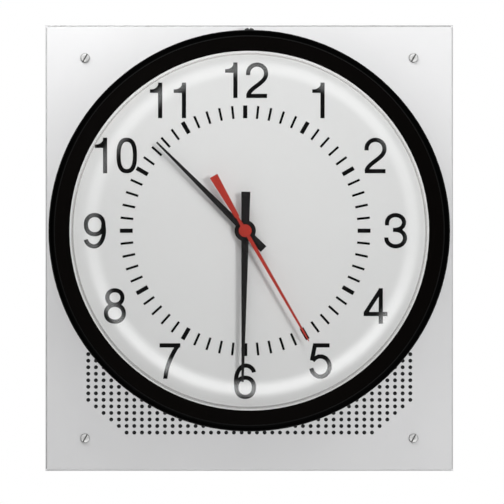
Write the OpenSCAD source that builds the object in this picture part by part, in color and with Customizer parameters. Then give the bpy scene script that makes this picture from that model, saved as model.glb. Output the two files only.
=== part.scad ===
// Wall clock mounted over a perforated loudspeaker plate, for corridors and classrooms.
// Lengths are millimetres. Pieces are drawn facing +Z with Y up, then stood up so that the
// dial looks along -Y. The origin is the centre of the four wall screws, on the plane of the
// faceplate's rear rim, which lies against the wall.

/* [Faceplate] */
// Width of the faceplate
plate_w = 330; // [326:1:350]
// Height of the faceplate
plate_h = 361; // [358:1:380]
// Depth of the folded edge, front face to rear rim
plate_depth = 12.7; // [11:0.1:16]
// Sheet thickness of the faceplate
plate_t = 1.2; // [0.9:0.1:1.6]
// Outside radius of the folded edge
bend_r = 2; // [1.8:0.1:3]
// Radius of the relief notch at each folded corner
relief_r = 0.9; // [0.5:0.1:1.2]
// Spacing of the four wall screws across
screw_dx = 266; // [240:1:280]
// Spacing of the four wall screws upwards
screw_dy = 308; // [290:1:320]

/* [Perforations] */
// Columns of holes
perf_cols = 43; // [21:2:43]
// Rows of holes
perf_rows = 19; // [11:1:19]
// Hole pitch across
perf_dx = 6.21; // [5.8:0.01:6.3]
// Hole pitch upwards
perf_dy = 5.29; // [4.8:0.01:5.4]
// Hole diameter
perf_d = 3.175; // [2:0.005:3.6]
// Steps cut off each corner of the field
perf_cut = 5; // [0:1:5]
// Bottom row below the plate's centre
perf_bottom = 149.4; // [148:0.1:151]

/* [Wall screws] */
// Radius of the threaded length
wall_screw_r = 2.08; // [1.7:0.01:2.2]
// Radius of the neck that holds the screw captive in the plate
wall_neck_r = 1.6; // [1.4:0.05:1.7]
// Radius of the slotted head
wall_head_r = 3.75; // [3.5:0.05:4.5]
// Height of the slotted head
wall_head_h = 2.2; // [1.8:0.1:3]
// Length that reaches behind the rear rim
wall_screw_reach = 13; // [8:0.5:20]
// Lean of the screw slots from upright
slot_lean = 30; // [0:5:90]

/* [Clock case] */
// Height of the clock's centre above the plate's centre
clock_y = 14; // [12:0.5:16]
// Outer radius of the bezel
bezel_r = 162; // [160:0.5:163]
// Width of the bezel's rounded shoulder
shoulder_w = 5.3; // [5:0.1:6.5]
// Width of the bezel's sloping face
face_w = 11.6; // [10.5:0.1:13]
// Height of the bezel face above the lens flange
bezel_rise = 12; // [11:0.1:13]
// Slope of the bezel face, outer edge to inner edge
bezel_slope = 5; // [3:0.1:6]
// Wall of the bezel moulding
bezel_wall = 2.4; // [2:0.1:2.6]
// Wall of the rear case
case_wall = 2.2; // [1.8:0.1:2.5]
// Gap between rear case and bezel skirt
case_gap = 0.4; // [0.3:0.05:0.6]
// Overlap of the dial and the ring that it lies on
seat_overlap = 2.5; // [2:0.1:3.5]

/* [Mounting strap] */
// Width of the strap behind the case
strap_w = 36; // [34:1:44]
// Thickness of the strap
strap_t = 1.5; // [1.2:0.1:2]
// Radius of the lock screw's head
lock_head_r = 3.75; // [3:0.05:4.5]
// Height of the lock screw's head
lock_head_h = 2.2; // [1.5:0.1:3]
// Radius of the lock screw's thread
lock_screw_r = 2; // [1.5:0.1:2.5]

/* [Lens] */
// Thickness of the lens
lens_t = 2; // [1.5:0.1:2.2]
// Width of the zone that turns down to the flange
lens_turn_w = 29; // [26:0.5:32]
// Gap between the dome and the bezel's opening
lens_gap = 1.1; // [0.6:0.1:2]
// Height of the dome above the flange
lens_dome_h = 11; // [10:0.1:12]
// Outer edge of the lens flange, inwards from the bezel's rim
lens_inset = 8; // [7.5:0.1:8.8]

/* [Dial] */
// Edge of the dial sheet, inwards from the bezel's rim
dial_inset = 11; // [10.8:0.1:11.8]
// Thickness of the dial sheet
dial_t = 1; // [0.8:0.1:1.5]
// Height of the ring between dial and lens flange
dial_ring_h = 2.6; // [2:0.1:3.5]
// Offset across of the movement, hands and print from the case
dial_dx = -3.3; // [-4:0.1:1]
// Circle of numerals, inwards from the dial's edge
numeral_inset = 29.5; // [27:0.5:33]
// Height of a numeral
numeral_h = 28.7; // [24:0.1:31]
// Stroke width of a numeral
numeral_stroke = 3.4; // [2.8:0.1:3.8]
// Advance from one figure to the next
numeral_advance = 19.2; // [18:0.1:21]
// Outer ends of the minute marks, inwards from the circle of numerals
mark_inset = 20.3; // [17:0.1:23]
// Length of the minute marks
mark_len = 10.4; // [8:0.1:12]
// Width of a five-minute mark
mark_wide = 3.4; // [2.8:0.1:4]
// Width of a minute mark
mark_thin = 1.9; // [1.2:0.1:2.2]
// Thickness of the printed ink
ink_t = 0.2; // [0.1:0.05:0.3]

/* [Hands] */
// Hour hand, degrees clockwise from twelve
hour_hand_angle = 315; // [0:1:359]
// Minute hand, degrees clockwise from twelve
minute_hand_angle = 181; // [0:1:359]
// Second hand, degrees clockwise from twelve
second_hand_angle = 150; // [0:1:359]
// Tip of the hour hand, inwards from the circle of numerals
hour_tip_inset = 20.5; // [12:0.5:40]
// Tail of the hour hand
hour_tail_len = 21; // [12:1:30]
// Radius of the hour hand's disc
hour_hub_r = 8.6; // [6:0.1:10]
// Tip of the minute hand, inwards from the circle of numerals
minute_tip_inset = -0.5; // [-5:0.5:16]
// Tail of the minute hand
minute_tail_len = 31.5; // [20:0.5:40]
// Tip of the second hand, inwards from the circle of numerals
second_tip_inset = 18.5; // [2:0.5:40]
// Tail of the second hand
second_tail_len = 51; // [30:1:60]
// Radius of the second hand's cap
second_hub_r = 5.2; // [4:0.1:6]
// Sheet thickness of the hands
hand_t = 0.6; // [0.4:0.1:0.8]

/* [Movement] */
// Width of the movement
move_w = 84; // [82:1:96]
// Height of the movement
move_h = 70; // [69:1:80]
// Depth of the movement
move_depth = 19; // [18.6:0.1:20]
// Wall of the movement shells
move_wall = 1.5; // [1.2:0.1:1.8]
// Radius of the threaded bushing
bushing_r = 4; // [3.6:0.1:4.5]
// Running clearance of shafts in their bores
run_gap = 0.05; // [0.02:0.01:0.09]
// Radius of the second arbor
second_arbor_r = 0.5; // [0.4:0.05:0.6]
// Radius of the minute tube
minute_tube_r = 1.6; // [1.4:0.05:1.7]
// Radius of the hour tube
hour_tube_r = 2.5; // [2.3:0.05:2.7]
// Tooth module of the motion work under the dial
motion_module = 0.5; // [0.5:0.01:0.52]
// Tooth module of the two reduction trains
train_module = 0.4; // [0.38:0.01:0.41]
// Face width of a wheel
wheel_t = 1; // [0.8:0.1:1.1]
// Face width of a pinion
pinion_t = 1.4; // [1.2:0.1:1.5]

/* [Loudspeaker] */
// Radius of the loudspeaker's flange
speaker_r = 66.5; // [65:0.5:68]
// Radius of the circle of flange holes
speaker_hole_circle_r = 61.5; // [60.5:0.1:62]
// Outer radius of the cone
cone_r = 44.2; // [42:0.1:45]
// Radius of the voice coil former
former_r = 13; // [12.5:0.1:13.5]
// Depth of the basket behind its flange
basket_depth = 22; // [21:0.5:26]
// Radius of the magnet
magnet_r = 36; // [34:0.5:40]
// Thickness of the magnet
magnet_t = 12; // [10:0.5:16]
// Thickness of the foam gasket
gasket_t = 2.5; // [2:0.1:4]
// Thickness of the grille cloth
cloth_t = 0.4; // [0.3:0.05:0.6]
// Width of the steel baffle
baffle_w = 304; // [300:1:306]
// Height of the steel baffle
baffle_h = 137; // [136:1:139]

/* [Network module] */
// Width of the steel tray
tray_w = 180; // [176:1:200]
// Height of the steel tray
tray_h = 110; // [108:1:112]
// Height of the tray's centre above the plate's centre
tray_y = 70; // [69:0.5:72]
// Depth of the steel tray
tray_depth = 34.3; // [30:0.1:40]
// Thickness of tray and cover sheet
tray_t = 1.2; // [0.8:0.1:1.6]
// Width of the circuit board
board_w = 160; // [156:1:164]
// Height of the circuit board
board_h = 88; // [86:1:94]
// Thickness of the circuit board
board_t = 1.6; // [1:0.1:2]
// Height of the spacers under the circuit board
spacer_h = 6; // [5.5:0.1:8]

/* [Hidden] */
$fn = 96;

// Shared clearances
fit = 0.1;
thread_gap = 0.02;
slack = 0.5;
cut = 1;

// Depths of the faceplate and what is fixed to it, measured from the wall towards the viewer
plate_back = plate_depth - plate_t;
cloth_back = plate_back - cloth_t;
baffle_t = 1.2;
baffle_back = cloth_back - baffle_t;
flange_front = baffle_back - gasket_t;

// Studs and nuts; the wall screws' thread ends just in front of the rear rim
thread_end = 1;
neck_room = 0.3;
stud_r = 2;
nut_r = 4;
nut_t = 3.2;
stud_end = 1.6;

// Field of perforations
perf_top = -perf_bottom + (perf_rows - 1) * perf_dy;
perf_mid_y = (perf_top - perf_bottom) / 2;
perf_half_w = (perf_cols - 1) * perf_dx / 2 + perf_d / 2;
cloth_margin = 3;

// Loudspeaker, centred on the field
speaker_y = perf_mid_y;
baffle_stud_x = baffle_w / 2 - 8;
baffle_stud_y = baffle_h / 2 - 12;
flange_t = 1;
speaker_open_r = speaker_hole_circle_r - 4.5;
landing_drop = 2;
basket_wall = 1;
basket_in_r = 50;
basket_floor_r = 28;
landing_z = flange_front - landing_drop;
basket_floor = flange_front - basket_depth;
top_plate_t = 4;
top_plate_r = 30;
top_plate_front = basket_floor - basket_wall;
magnet_front = top_plate_front - top_plate_t;
yoke_t = 4;
yoke_front = magnet_front - magnet_t;
former_t = 0.4;
winding_t = 0.5;
air_gap = 0.5;
pole_r = former_r - former_t - air_gap;
gap_r = former_r + winding_t + air_gap;
surround_t = 0.4;
cone_t = 0.5;
cone_rim_w = 1.6;
cone_neck_z = basket_floor + 2.8;
cone_rim_z = landing_z - surround_t;
spider_t = 0.3;
tag_board_w = 18;
tag_board_h = 8;
tag_board_t = 1.5;
tag_x = 7;
tag_hole_r = 0.8;
spider_r = basket_floor_r - 0.3;

// Network module
tray_back_sheet = plate_back - tray_t;
tray_rear = plate_back - tray_depth;
board_front = tray_back_sheet - spacer_h;
board_back = board_front - board_t;
tray_stud_x = 50;
tray_stud_y = 30;
pillar_r = 3.5;
pillar_inset = tray_t + pillar_r - slack;
board_hole_inset = 6;
small_screw_r = 1.5;
small_head_r = 2.8;
small_head_h = 2;
block_w = 15;
block_d = 10;
block_h = 10;
block_x = board_w / 2 - 20;
block_y = tray_y - board_h / 2;
jack_l = 21.3;
jack_w = 16;
jack_h = 13.5;
jack_y = tray_y + 22;
jack_port_w = 11.8;
jack_port_h = 7;
jack_port_l = 13;
jack_port_lift = 3;
sink_x = 36 - board_w / 2;
sink_y = -8;
sink_w = 44;
sink_l = 30;
capacitor_r = 5;
capacitor_h = 16;
capacitor_y = board_h / 2 - 16;
capacitor_gap = 14;
vent_count = 9;
vent_w = 3;
vent_l = 40;
vent_gap = 10;
vent_x = 46 - tray_w / 2;
processor_w = 22;
processor_t = 2;
transformer_w = 17;
transformer_h = 14;
transformer_t = 8;
small_chip_w = 12;
small_chip_h = 8;
small_chip_t = 1.6;
inductor_r = 6;
inductor_h = 8;
chip_x = board_w / 2 - 46;
chip_low_y = 15 - board_h / 2;
chip_gap = 8;

// Radii of the clock
bezel_step_r = bezel_r - shoulder_w;
bezel_open_r = bezel_step_r - face_w;
lens_edge_r = bezel_open_r - lens_gap;
lens_flat_r = lens_edge_r - lens_turn_w;
lens_flange_r = bezel_r - lens_inset;
dial_r = bezel_r - dial_inset;
seat_r = dial_r - seat_overlap;
numeral_circle_r = dial_r - numeral_inset;
mark_out_r = numeral_circle_r - mark_inset;
mark_in_r = mark_out_r - mark_len;
hour_hand_len = numeral_circle_r - hour_tip_inset;
minute_hand_len = numeral_circle_r - minute_tip_inset;
second_hand_len = numeral_circle_r - second_tip_inset;

// Mounting strap, measured from the clock's centre
strap_front = plate_depth + strap_t;
tab_w = 24;
hook_y = 32 - bezel_r;
hook_lip_h = 5;
lock_tab_y = bezel_r - 6.2;
lock_z = plate_depth + 11.3;
lock_tab_reach = 17.5;
strap_stud_x = 10;
strap_stud_low = -30;
strap_stud_high = lock_tab_y - 25.8;

// Depths of the clock
floor_back = strap_front + 0.3;
floor_front = floor_back + case_wall;
move_back = floor_front + 2.7;
move_front = move_back + move_depth;
move_washer_t = 0.5;
move_washer_r = 9;
dial_back = move_front + move_washer_t;
dial_front = dial_back + dial_t;
lens_seat = dial_front + dial_ring_h;
lens_flange_top = lens_seat + lens_t;
lens_front = lens_flange_top + lens_dome_h;
bezel_front = lens_flange_top + bezel_rise;
bezel_rear = floor_back + 0.7;
skirt_in_r = bezel_r - bezel_wall;
case_r = skirt_in_r - case_gap;
case_in_r = case_r - case_wall;
case_top = lens_seat;
seat_lip_r = dial_r + 0.5;
seat_wall = 1.5;
catch_count = 6;
catch_w = 12;
catch_h = 2;
catch_z = floor_front + 4;
catch_depth = case_gap + 1.2;
rib_count = 6;
rib_h = 8;
rib_t = 1.8;
rib_in_r = 80;

// Lead hole through plate and case, measured from the clock's centre
lead_x = 60;
lead_y = -25;
lead_r = 1.7;
grommet_r = 5;
grommet_lip = 1.2;

// Hands: heights, and half widths at the tail, at the middle and at the tip
collet_wall = 1.1;
hour_tail_half = 3.25;
hour_mid_half = 2.85;
hour_tip_half = 0.75;
minute_tail_half = 3.65;
minute_tip_half = 0.95;
minute_hub_r = 4.4;
second_tail_half = 3.5;
second_neck_half = 1.85;
second_waist_half = 1.1;
second_mid_half = 1.6;
second_end_half = 0.8;
second_tip_half = 0.3;
second_point_len = 7;
second_neck_len = 13;
second_cap_h = 1.8;
second_cap_drop = 0.4;
tube_proud = 0.4;
hour_hand_z = dial_front + 5.7;
minute_hand_z = hour_hand_z + 2.5;
second_hand_z = minute_hand_z + 2.5;

// Movement levels, front to back
bushing_top = dial_front + 3.5;
nut_washer_t = 0.5;
nut_washer_r = 7;
bushing_nut_t = 2.5;
bushing_nut_r = 6.6;
back_shell_h = 9.6;
shell_split = move_back + back_shell_h;
front_inside = move_front - move_wall;
back_inside = move_back + move_wall;
hour_wheel_z = front_inside - 2;
motion_wheel_z = hour_wheel_z - 1.6;
minute_wheel_z = motion_wheel_z - 1.9;
minute_inter_z = minute_wheel_z - 1.8;
second_wheel_z = minute_inter_z - 2;
second_inter_z = second_wheel_z - 2;
stator_z = back_inside + 2.3;
stator_t = 1;
magnet_z = back_inside + 1.5;
rotor_magnet_t = 2.7;
boss_r = 1.6;
front_boss_h = 2;
back_boss_h = 1.2;
pivot_depth = 1;

// Tooth counts
hour_teeth = 32;
motion_pinion_teeth = 8;
motion_teeth = 30;
cannon_teeth = 10;
minute_teeth = 64;
second_teeth = 60;
inter_teeth = 60;
minute_inter_pinion = 8;
second_inter_pinion = 15;
rotor_teeth = 8;

// Tooth form, in modules and in shares of the pitch
addendum = 0.7;
dedendum = 0.95;
tooth_root_share = 0.44;
tooth_tip_share = 0.17;

// Places of the arbors, measured from the clock's centre
motion_dist = motion_module * (hour_teeth + motion_pinion_teeth) / 2;
minute_inter_dist = train_module * (minute_teeth + minute_inter_pinion) / 2;
second_inter_dist = train_module * (second_teeth + second_inter_pinion) / 2;
rotor_dist = train_module * (inter_teeth + rotor_teeth) / 2;
minute_rotor_dir = -120;
second_rotor_dir = -60;
minute_inter_x = -minute_inter_dist;
second_inter_x = second_inter_dist;
minute_rotor_x = minute_inter_x + rotor_dist * cos(minute_rotor_dir);
second_rotor_x = second_inter_x + rotor_dist * cos(second_rotor_dir);
rotor_y = rotor_dist * sin(second_rotor_dir);
rotor_magnet_r = 3.5;
rotor_hole_r = 4.1;
stator_half_w = 10;
stator_bar = 4;
core_y = -28;
coil_r = 2.7;
coil_half_l = 5.8;
move_board_w = 68;
move_board_h = 10.5;
move_board_y = 22;
move_board_z = back_inside + 1.5;
socket_y = 21;
socket_l = 9;
socket_h = 5;
socket_reach = 9;
socket_overlap = 6;
socket_end_x = dial_dx + move_w / 2 + socket_reach;
move_board_t = 1.2;
board_pin_r = 0.6;
board_pin_x = 12;
shell_screw_inset = 5;
shell_screw_r = 1;
shell_boss_r = 2.8;
post_r = 1.2;

// Routes of the two leads, chosen by hand: points are [across, up, towards the viewer]
speaker_route = [
  [-block_x, block_y, -2], [-block_x, block_y - 8, -2], [-block_x, block_y - 20, -4],
  [-58, -10, -6], [-50, -24, -6], [-34, -32, -6], [-16, -36, -5], [-6, -39, -3], [-4, -40, 1],
  [-4, -40, 4.8]
];
clock_route_behind = [
  [block_x, block_y, -2], [block_x, block_y - 8, -2], [block_x, block_y - 20, -3], [60, -6, -2],
  [60, -11, 4]
];
clock_route_front = [
  [60, -11, 9], [60, -11, 14], [61, -9, 20], [64, 4, 24], [64, 20, 26], [59, 32, 26],
  [socket_end_x + 6, 35, 26], [socket_end_x + 3, 35, 26], [socket_end_x, 35, 26]
];

// Stand a piece up so that it faces the viewer
module stand() rotate([90, 0, 0]) children();

module on_clock() stand() translate([0, clock_y, 0]) children();

// Place of the movement, the hands and the print
module on_dial() stand() translate([dial_dx, clock_y, 0]) children();

module on_speaker() stand() translate([0, speaker_y, 0]) children();

module on_tray() stand() translate([0, tray_y, 0]) children();

module rod(r, low, high) translate([0, 0, low]) cylinder(r = r, h = high - low);

module tube(r_out, r_in, low, high)
  translate([0, 0, low]) linear_extrude(high - low) difference() {
    circle(r_out);
    circle(r_in);
  }

module slab(w, h, low, high)
  translate([-w / 2, -h / 2, low]) cube([w, h, high - low]);

module at_corners(dx, dy)
  for (x = [-1, 1], y = [-1, 1]) translate([x * dx, y * dy, 0]) children();

module hex_nut(low, high)
  translate([0, 0, low]) difference() {
    cylinder(r = nut_r, h = high - low, $fn = 6);
    translate([0, 0, -cut]) cylinder(r = stud_r + fit / 2, h = high - low + 2 * cut);
  }

// Head of a slotted screw, its underside at the origin
module slotted_head(r, h, lean)
  difference() {
    rotate_extrude() polygon(concat(
      [[0, 0], [r, 0], [r, h * 0.35]],
      [for (a = [10:10:80]) [r * cos(a), h * 0.35 + h * 0.65 * sin(a)]],
      [[0, h]]
    ));
    rotate(-lean) translate([-r * 0.14, -r - cut, h * 0.5]) cube([r * 0.28, 2 * (r + cut), h]);
  }

// Sheet edge seen end-on: a box with its two front corners rounded
module folded_section(w, d, r) {
  translate([-w / 2, 0]) square([w, d - r]);
  translate([-w / 2 + r, 0]) square([w - 2 * r, d]);
  for (side = [-1, 1]) translate([side * (w / 2 - r), d - r]) circle(r);
}

module pan(w, h, d, r)
  intersection() {
    rotate([90, 0, 0]) linear_extrude(h, center = true) folded_section(w, d, r);
    rotate([90, 0, 90]) linear_extrude(w, center = true) folded_section(h, d, r);
  }

function perf_inset(row) = max(0, perf_cut - row, perf_cut - (perf_rows - 1 - row));

module perforations()
  for (row = [0:perf_rows - 1], col = [perf_inset(row):perf_cols - 1 - perf_inset(row)])
    translate([(col - (perf_cols - 1) / 2) * perf_dx, row * perf_dy - perf_bottom])
      circle(d = perf_d, $fn = 24);

module faceplate()
  color([0.86, 0.86, 0.86]) stand() difference() {
    pan(plate_w, plate_h, plate_depth, bend_r);
    translate([0, 0, -cut])
      pan(plate_w - 2 * plate_t, plate_h - 2 * plate_t, plate_back + cut, bend_r - plate_t);
    translate([0, 0, plate_back - cut]) linear_extrude(plate_t + 2 * cut) perforations();
    at_corners(screw_dx / 2, screw_dy / 2)
      rod(wall_neck_r + neck_room, plate_back - cut, plate_depth + cut);
    at_corners(plate_w / 2 - relief_r, plate_h / 2 - relief_r)
      rod(relief_r, plate_back - bend_r, plate_depth + cut);
    translate([lead_x, clock_y + lead_y, 0]) rod(grommet_r, plate_back - cut, plate_depth + cut);
    for (x = [-1, 1], y = [strap_stud_low, strap_stud_high])
      translate([x * strap_stud_x, clock_y + y, 0])
        rod(stud_r + fit, plate_back - cut, plate_depth + cut);
  }

// Studs welded to the rear of the faceplate for the baffle and the tray
module plate_studs()
  color([0.72, 0.7, 0.66]) stand() {
    translate([0, speaker_y, 0]) at_corners(baffle_stud_x, baffle_stud_y)
      rod(stud_r, baffle_back - nut_t - stud_end, plate_back);
    translate([0, tray_y, 0]) at_corners(tray_stud_x, tray_stud_y)
      rod(stud_r, tray_back_sheet - nut_t - stud_end, plate_back);
  }

module mounting_screws()
  color([0.8, 0.79, 0.76]) stand() at_corners(screw_dx / 2, screw_dy / 2) {
    translate([0, 0, plate_depth]) slotted_head(wall_head_r, wall_head_h, slot_lean);
    rod(wall_neck_r, thread_end, plate_depth);
    rod(wall_screw_r, -wall_screw_reach, thread_end);
  }

module stud_nuts()
  color([0.75, 0.74, 0.72]) stand() {
    translate([0, speaker_y, 0]) {
      at_corners(baffle_stud_x, baffle_stud_y) hex_nut(baffle_back - nut_t, baffle_back);
      for (a = [45:90:315]) rotate(a) translate([speaker_hole_circle_r, 0, 0])
        hex_nut(flange_front - flange_t - nut_t, flange_front - flange_t);
    }
    translate([0, tray_y, 0]) at_corners(tray_stud_x, tray_stud_y)
      hex_nut(tray_back_sheet - nut_t, tray_back_sheet);
    for (x = [-1, 1], y = [strap_stud_low, strap_stud_high])
      translate([x * strap_stud_x, clock_y + y, 0]) hex_nut(plate_back - nut_t, plate_back);
  }

// Room round the two lower wall screws, measured from the loudspeaker's centre
module wall_screw_room(low, high)
  for (x = [-1, 1]) translate([x * screw_dx / 2, -screw_dy / 2 - speaker_y, 0])
    rod(wall_screw_r + 2, low - cut, high + cut);

module grille_cloth()
  color([0.08, 0.08, 0.09]) on_speaker() difference() {
    slab(2 * (perf_half_w + cloth_margin), perf_top + perf_bottom + perf_d + 2 * cloth_margin,
      cloth_back, plate_back);
    wall_screw_room(cloth_back, plate_back);
  }

// Steel baffle with its four pressed-in studs for the loudspeaker
module speaker_baffle()
  color([0.5, 0.5, 0.52]) on_speaker() {
    difference() {
      slab(baffle_w, baffle_h, baffle_back, cloth_back);
      rod(speaker_open_r, baffle_back - cut, cloth_back + cut);
      at_corners(baffle_stud_x, baffle_stud_y)
        rod(stud_r + fit, baffle_back - cut, cloth_back + cut);
      wall_screw_room(baffle_back, cloth_back);
    }
    for (a = [45:90:315]) rotate(a) translate([speaker_hole_circle_r, 0, 0])
      rod(stud_r, flange_front - flange_t - nut_t - stud_end, baffle_back);
  }

module flange_holes(low, high)
  for (a = [45:90:315]) rotate(a) translate([speaker_hole_circle_r, 0, 0])
    rod(stud_r + 2 * fit, low - cut, high + cut);

module speaker_gasket()
  color([0.12, 0.12, 0.12]) on_speaker() difference() {
    tube(speaker_r, speaker_open_r, flange_front, baffle_back);
    flange_holes(flange_front, baffle_back);
  }

// One of the four openings between the basket's arms
module basket_window()
  linear_extrude(basket_depth) polygon(concat(
    [for (a = [-30:6:30]) (basket_in_r - 3) * [cos(a), sin(a)]],
    [for (a = [28:-8:-28]) (basket_floor_r + 4) * [cos(a), sin(a)]]
  ));

module speaker_frame()
  color([0.2, 0.2, 0.21]) on_speaker() difference() {
    rotate_extrude() polygon([
      [speaker_r, flange_front],
      [speaker_open_r - 1, flange_front],
      [speaker_open_r - 1, landing_z],
      [basket_in_r, landing_z],
      [basket_in_r, landing_z - 4],
      [basket_floor_r, basket_floor],
      [gap_r, basket_floor],
      [gap_r, top_plate_front],
      [basket_floor_r + 0.6, top_plate_front],
      [basket_in_r + basket_wall, landing_z - 4.4],
      [basket_in_r + basket_wall, landing_z - basket_wall],
      [speaker_open_r, landing_z - basket_wall],
      [speaker_open_r, flange_front - flange_t],
      [speaker_r, flange_front - flange_t]
    ]);
    for (a = [0:90:270]) rotate(a) translate([0, 0, basket_floor + 0.5]) basket_window();
    flange_holes(flange_front - flange_t, flange_front);
  }

// Section of a pressed ring, as radius and height: flat rims with waves between them
function wave_points(rim_in, wave_in, wave_out, rim_out, swing, waves) = concat(
  [[rim_in, 0]],
  [for (i = [0:8 * waves]) let (s = i / (8 * waves))
    [wave_in + (wave_out - wave_in) * s, swing * (1 - cos(360 * waves * s)) / 2]],
  [[rim_out, 0]]
);

module wavy_ring(low, t, points, lift)
  translate([0, 0, low]) rotate_extrude() polygon(concat(
    [for (p = points) [p[0], p[1] + lift * (points[len(points) - 1][0] - p[0])]],
    [for (i = [len(points) - 1:-1:0]) let (p = points[i])
      [p[0], p[1] + t + lift * (points[len(points) - 1][0] - p[0])]]
  ));

module speaker_surround()
  color([0.1, 0.1, 0.1]) on_speaker()
    wavy_ring(landing_z, surround_t,
      wave_points(cone_r - cone_rim_w, cone_r, basket_in_r, speaker_open_r - 1.2, 1.6, 2), 0);

module speaker_spider()
  color([0.78, 0.62, 0.3]) on_speaker()
    wavy_ring(basket_floor, spider_t,
      wave_points(former_r + fit / 2, former_r + 2, spider_r - 2, spider_r, 0.8, 3), 0.05);

module speaker_top_plate()
  color([0.7, 0.7, 0.68]) on_speaker() tube(top_plate_r, gap_r, magnet_front, top_plate_front);

module speaker_magnet()
  color([0.16, 0.16, 0.17]) on_speaker() tube(magnet_r, top_plate_r - 10, yoke_front, magnet_front);

module speaker_yoke()
  color([0.7, 0.7, 0.68]) on_speaker() difference() {
    union() {
      rod(magnet_r - 4, yoke_front - yoke_t, yoke_front);
      rod(pole_r, yoke_front, top_plate_front);
    }
    rod(pole_r / 3, yoke_front - yoke_t - cut, top_plate_front + cut);
  }

module speaker_terminals()
  color([0.6, 0.45, 0.25]) on_speaker() translate([0, speaker_hole_circle_r, 0]) difference() {
    slab(tag_board_w, tag_board_h, flange_front - flange_t - tag_board_t, flange_front - flange_t);
    for (x = [-1, 1]) translate([x * tag_x, 0, 0])
      rod(tag_hole_r, flange_front - flange_t - tag_board_t - cut, flange_front);
  }

function cone_z(r) = cone_neck_z + (r - former_r) * (cone_rim_z - cone_neck_z)
  / (cone_r - cone_rim_w - former_r);

module speaker_cone()
  color([0.14, 0.14, 0.15]) on_speaker() rotate_extrude() polygon([
    [former_r, cone_neck_z],
    [cone_r - cone_rim_w, cone_rim_z],
    [cone_r - cone_rim_w, landing_z],
    [cone_r, landing_z],
    [cone_r, cone_rim_z - cone_t / 2],
    [cone_r - cone_rim_w, cone_rim_z - cone_t],
    [former_r, cone_neck_z - cone_t]
  ]);

module speaker_dust_cap() {
  cap_r = former_r + 2;
  cap_h = 4;
  color([0.1, 0.1, 0.1]) on_speaker()
    translate([0, 0, cone_z(cap_r) + 0.02]) rotate_extrude() polygon(concat(
      [for (a = [0:10:90]) [cap_r * cos(a), cap_h * sin(a)]],
      [for (a = [90:-10:0]) [(cap_r - cone_t) * cos(a), (cap_h - cone_t) * sin(a)]]
    ));
}

// Former and winding on one tube
module voice_coil() {
  former_front = cone_neck_z + 1.2;
  winding_front = top_plate_front + 1;
  winding_back = magnet_front - 1;
  color([0.72, 0.4, 0.2]) on_speaker() {
    tube(former_r, former_r - former_t, winding_back - 1, former_front);
    tube(former_r + winding_t, former_r, winding_back, winding_front);
  }
}

// Box sheet with walls, spacers for the board and pillars for the cover
module module_tray()
  color([0.66, 0.67, 0.68]) on_tray() {
    difference() {
      slab(tray_w, tray_h, tray_rear, plate_back);
      slab(tray_w - 2 * tray_t, tray_h - 2 * tray_t, tray_rear - cut, tray_back_sheet);
      at_corners(tray_stud_x, tray_stud_y) rod(stud_r + fit, tray_back_sheet - cut, plate_back + cut);
      translate([tray_w / 2, jack_y - tray_y, board_back - jack_h / 2])
        cube([4 * tray_t, jack_w + 2 * slack, jack_h + 2 * slack], center = true);
      for (x = [-1, 1]) translate([x * block_x, -tray_h / 2, board_back - block_h / 2])
        cube([block_w * 0.8, 4 * tray_t, block_h * 0.8], center = true);
    }
    at_corners(board_w / 2 - board_hole_inset, board_h / 2 - board_hole_inset) difference() {
      rod(small_screw_r + 1.5, board_front, tray_back_sheet);
      rod(small_screw_r, board_front - cut, tray_back_sheet - cut);
    }
    at_corners(tray_w / 2 - pillar_inset, tray_h / 2 - pillar_inset) difference() {
      rod(pillar_r, tray_rear, tray_back_sheet);
      rod(small_screw_r, tray_rear - cut, tray_rear + 8);
    }
  }

module network_circuit_board()
  color([0.05, 0.35, 0.16]) on_tray() difference() {
    slab(board_w, board_h, board_back, board_front);
    at_corners(board_w / 2 - board_hole_inset, board_h / 2 - board_hole_inset)
      rod(small_screw_r + 2 * fit, board_back - cut, board_front + cut);
  }

module network_jack()
  color([0.75, 0.75, 0.74]) stand()
    translate([tray_w / 2 - jack_l, jack_y - jack_w / 2, board_back - jack_h]) difference() {
      cube([jack_l, jack_w, jack_h]);
      translate([jack_l - jack_port_l, (jack_w - jack_port_w) / 2, jack_port_lift])
        cube([jack_port_l + cut, jack_port_w, jack_port_h]);
    }

// Processor, transformer, two small chips and a coil standing on the rear of the circuit board
module board_chips()
  color([0.1, 0.1, 0.11]) on_tray() translate([0, 0, board_back]) mirror([0, 0, 1]) {
    translate([chip_x - processor_w - chip_gap, sink_y, 0])
      slab(processor_w, processor_w, 0, processor_t);
    translate([chip_x, jack_y - tray_y, 0]) slab(transformer_w, transformer_h, 0, transformer_t);
    translate([chip_x, sink_y, 0]) slab(small_chip_w, small_chip_h, 0, small_chip_t);
    translate([chip_x - small_chip_w, chip_low_y, 0]) rod(inductor_r, 0, inductor_h);
    translate([chip_x - 3 * small_chip_w, chip_low_y, 0])
      slab(small_chip_w, small_chip_h, 0, small_chip_t);
  }

module amplifier_heat_sink() {
  base_t = 3;
  fin_h = 12;
  fin_count = 8;
  fin_t = 1.5;
  fin_gap = (sink_w - fin_t) / (fin_count - 1);
  color([0.3, 0.3, 0.31]) on_tray() translate([sink_x, sink_y, board_back]) mirror([0, 0, 1]) {
    slab(sink_w, sink_l, 0, base_t);
    for (i = [0:fin_count - 1]) translate([-sink_w / 2 + i * fin_gap, -sink_l / 2, base_t])
      cube([fin_t, sink_l, fin_h]);
  }
}

module capacitors()
  color([0.15, 0.17, 0.3]) on_tray() for (i = [-1:1])
    translate([sink_x + i * capacitor_gap, capacitor_y, 0])
      rod(capacitor_r, board_back - capacitor_h, board_back);

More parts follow.
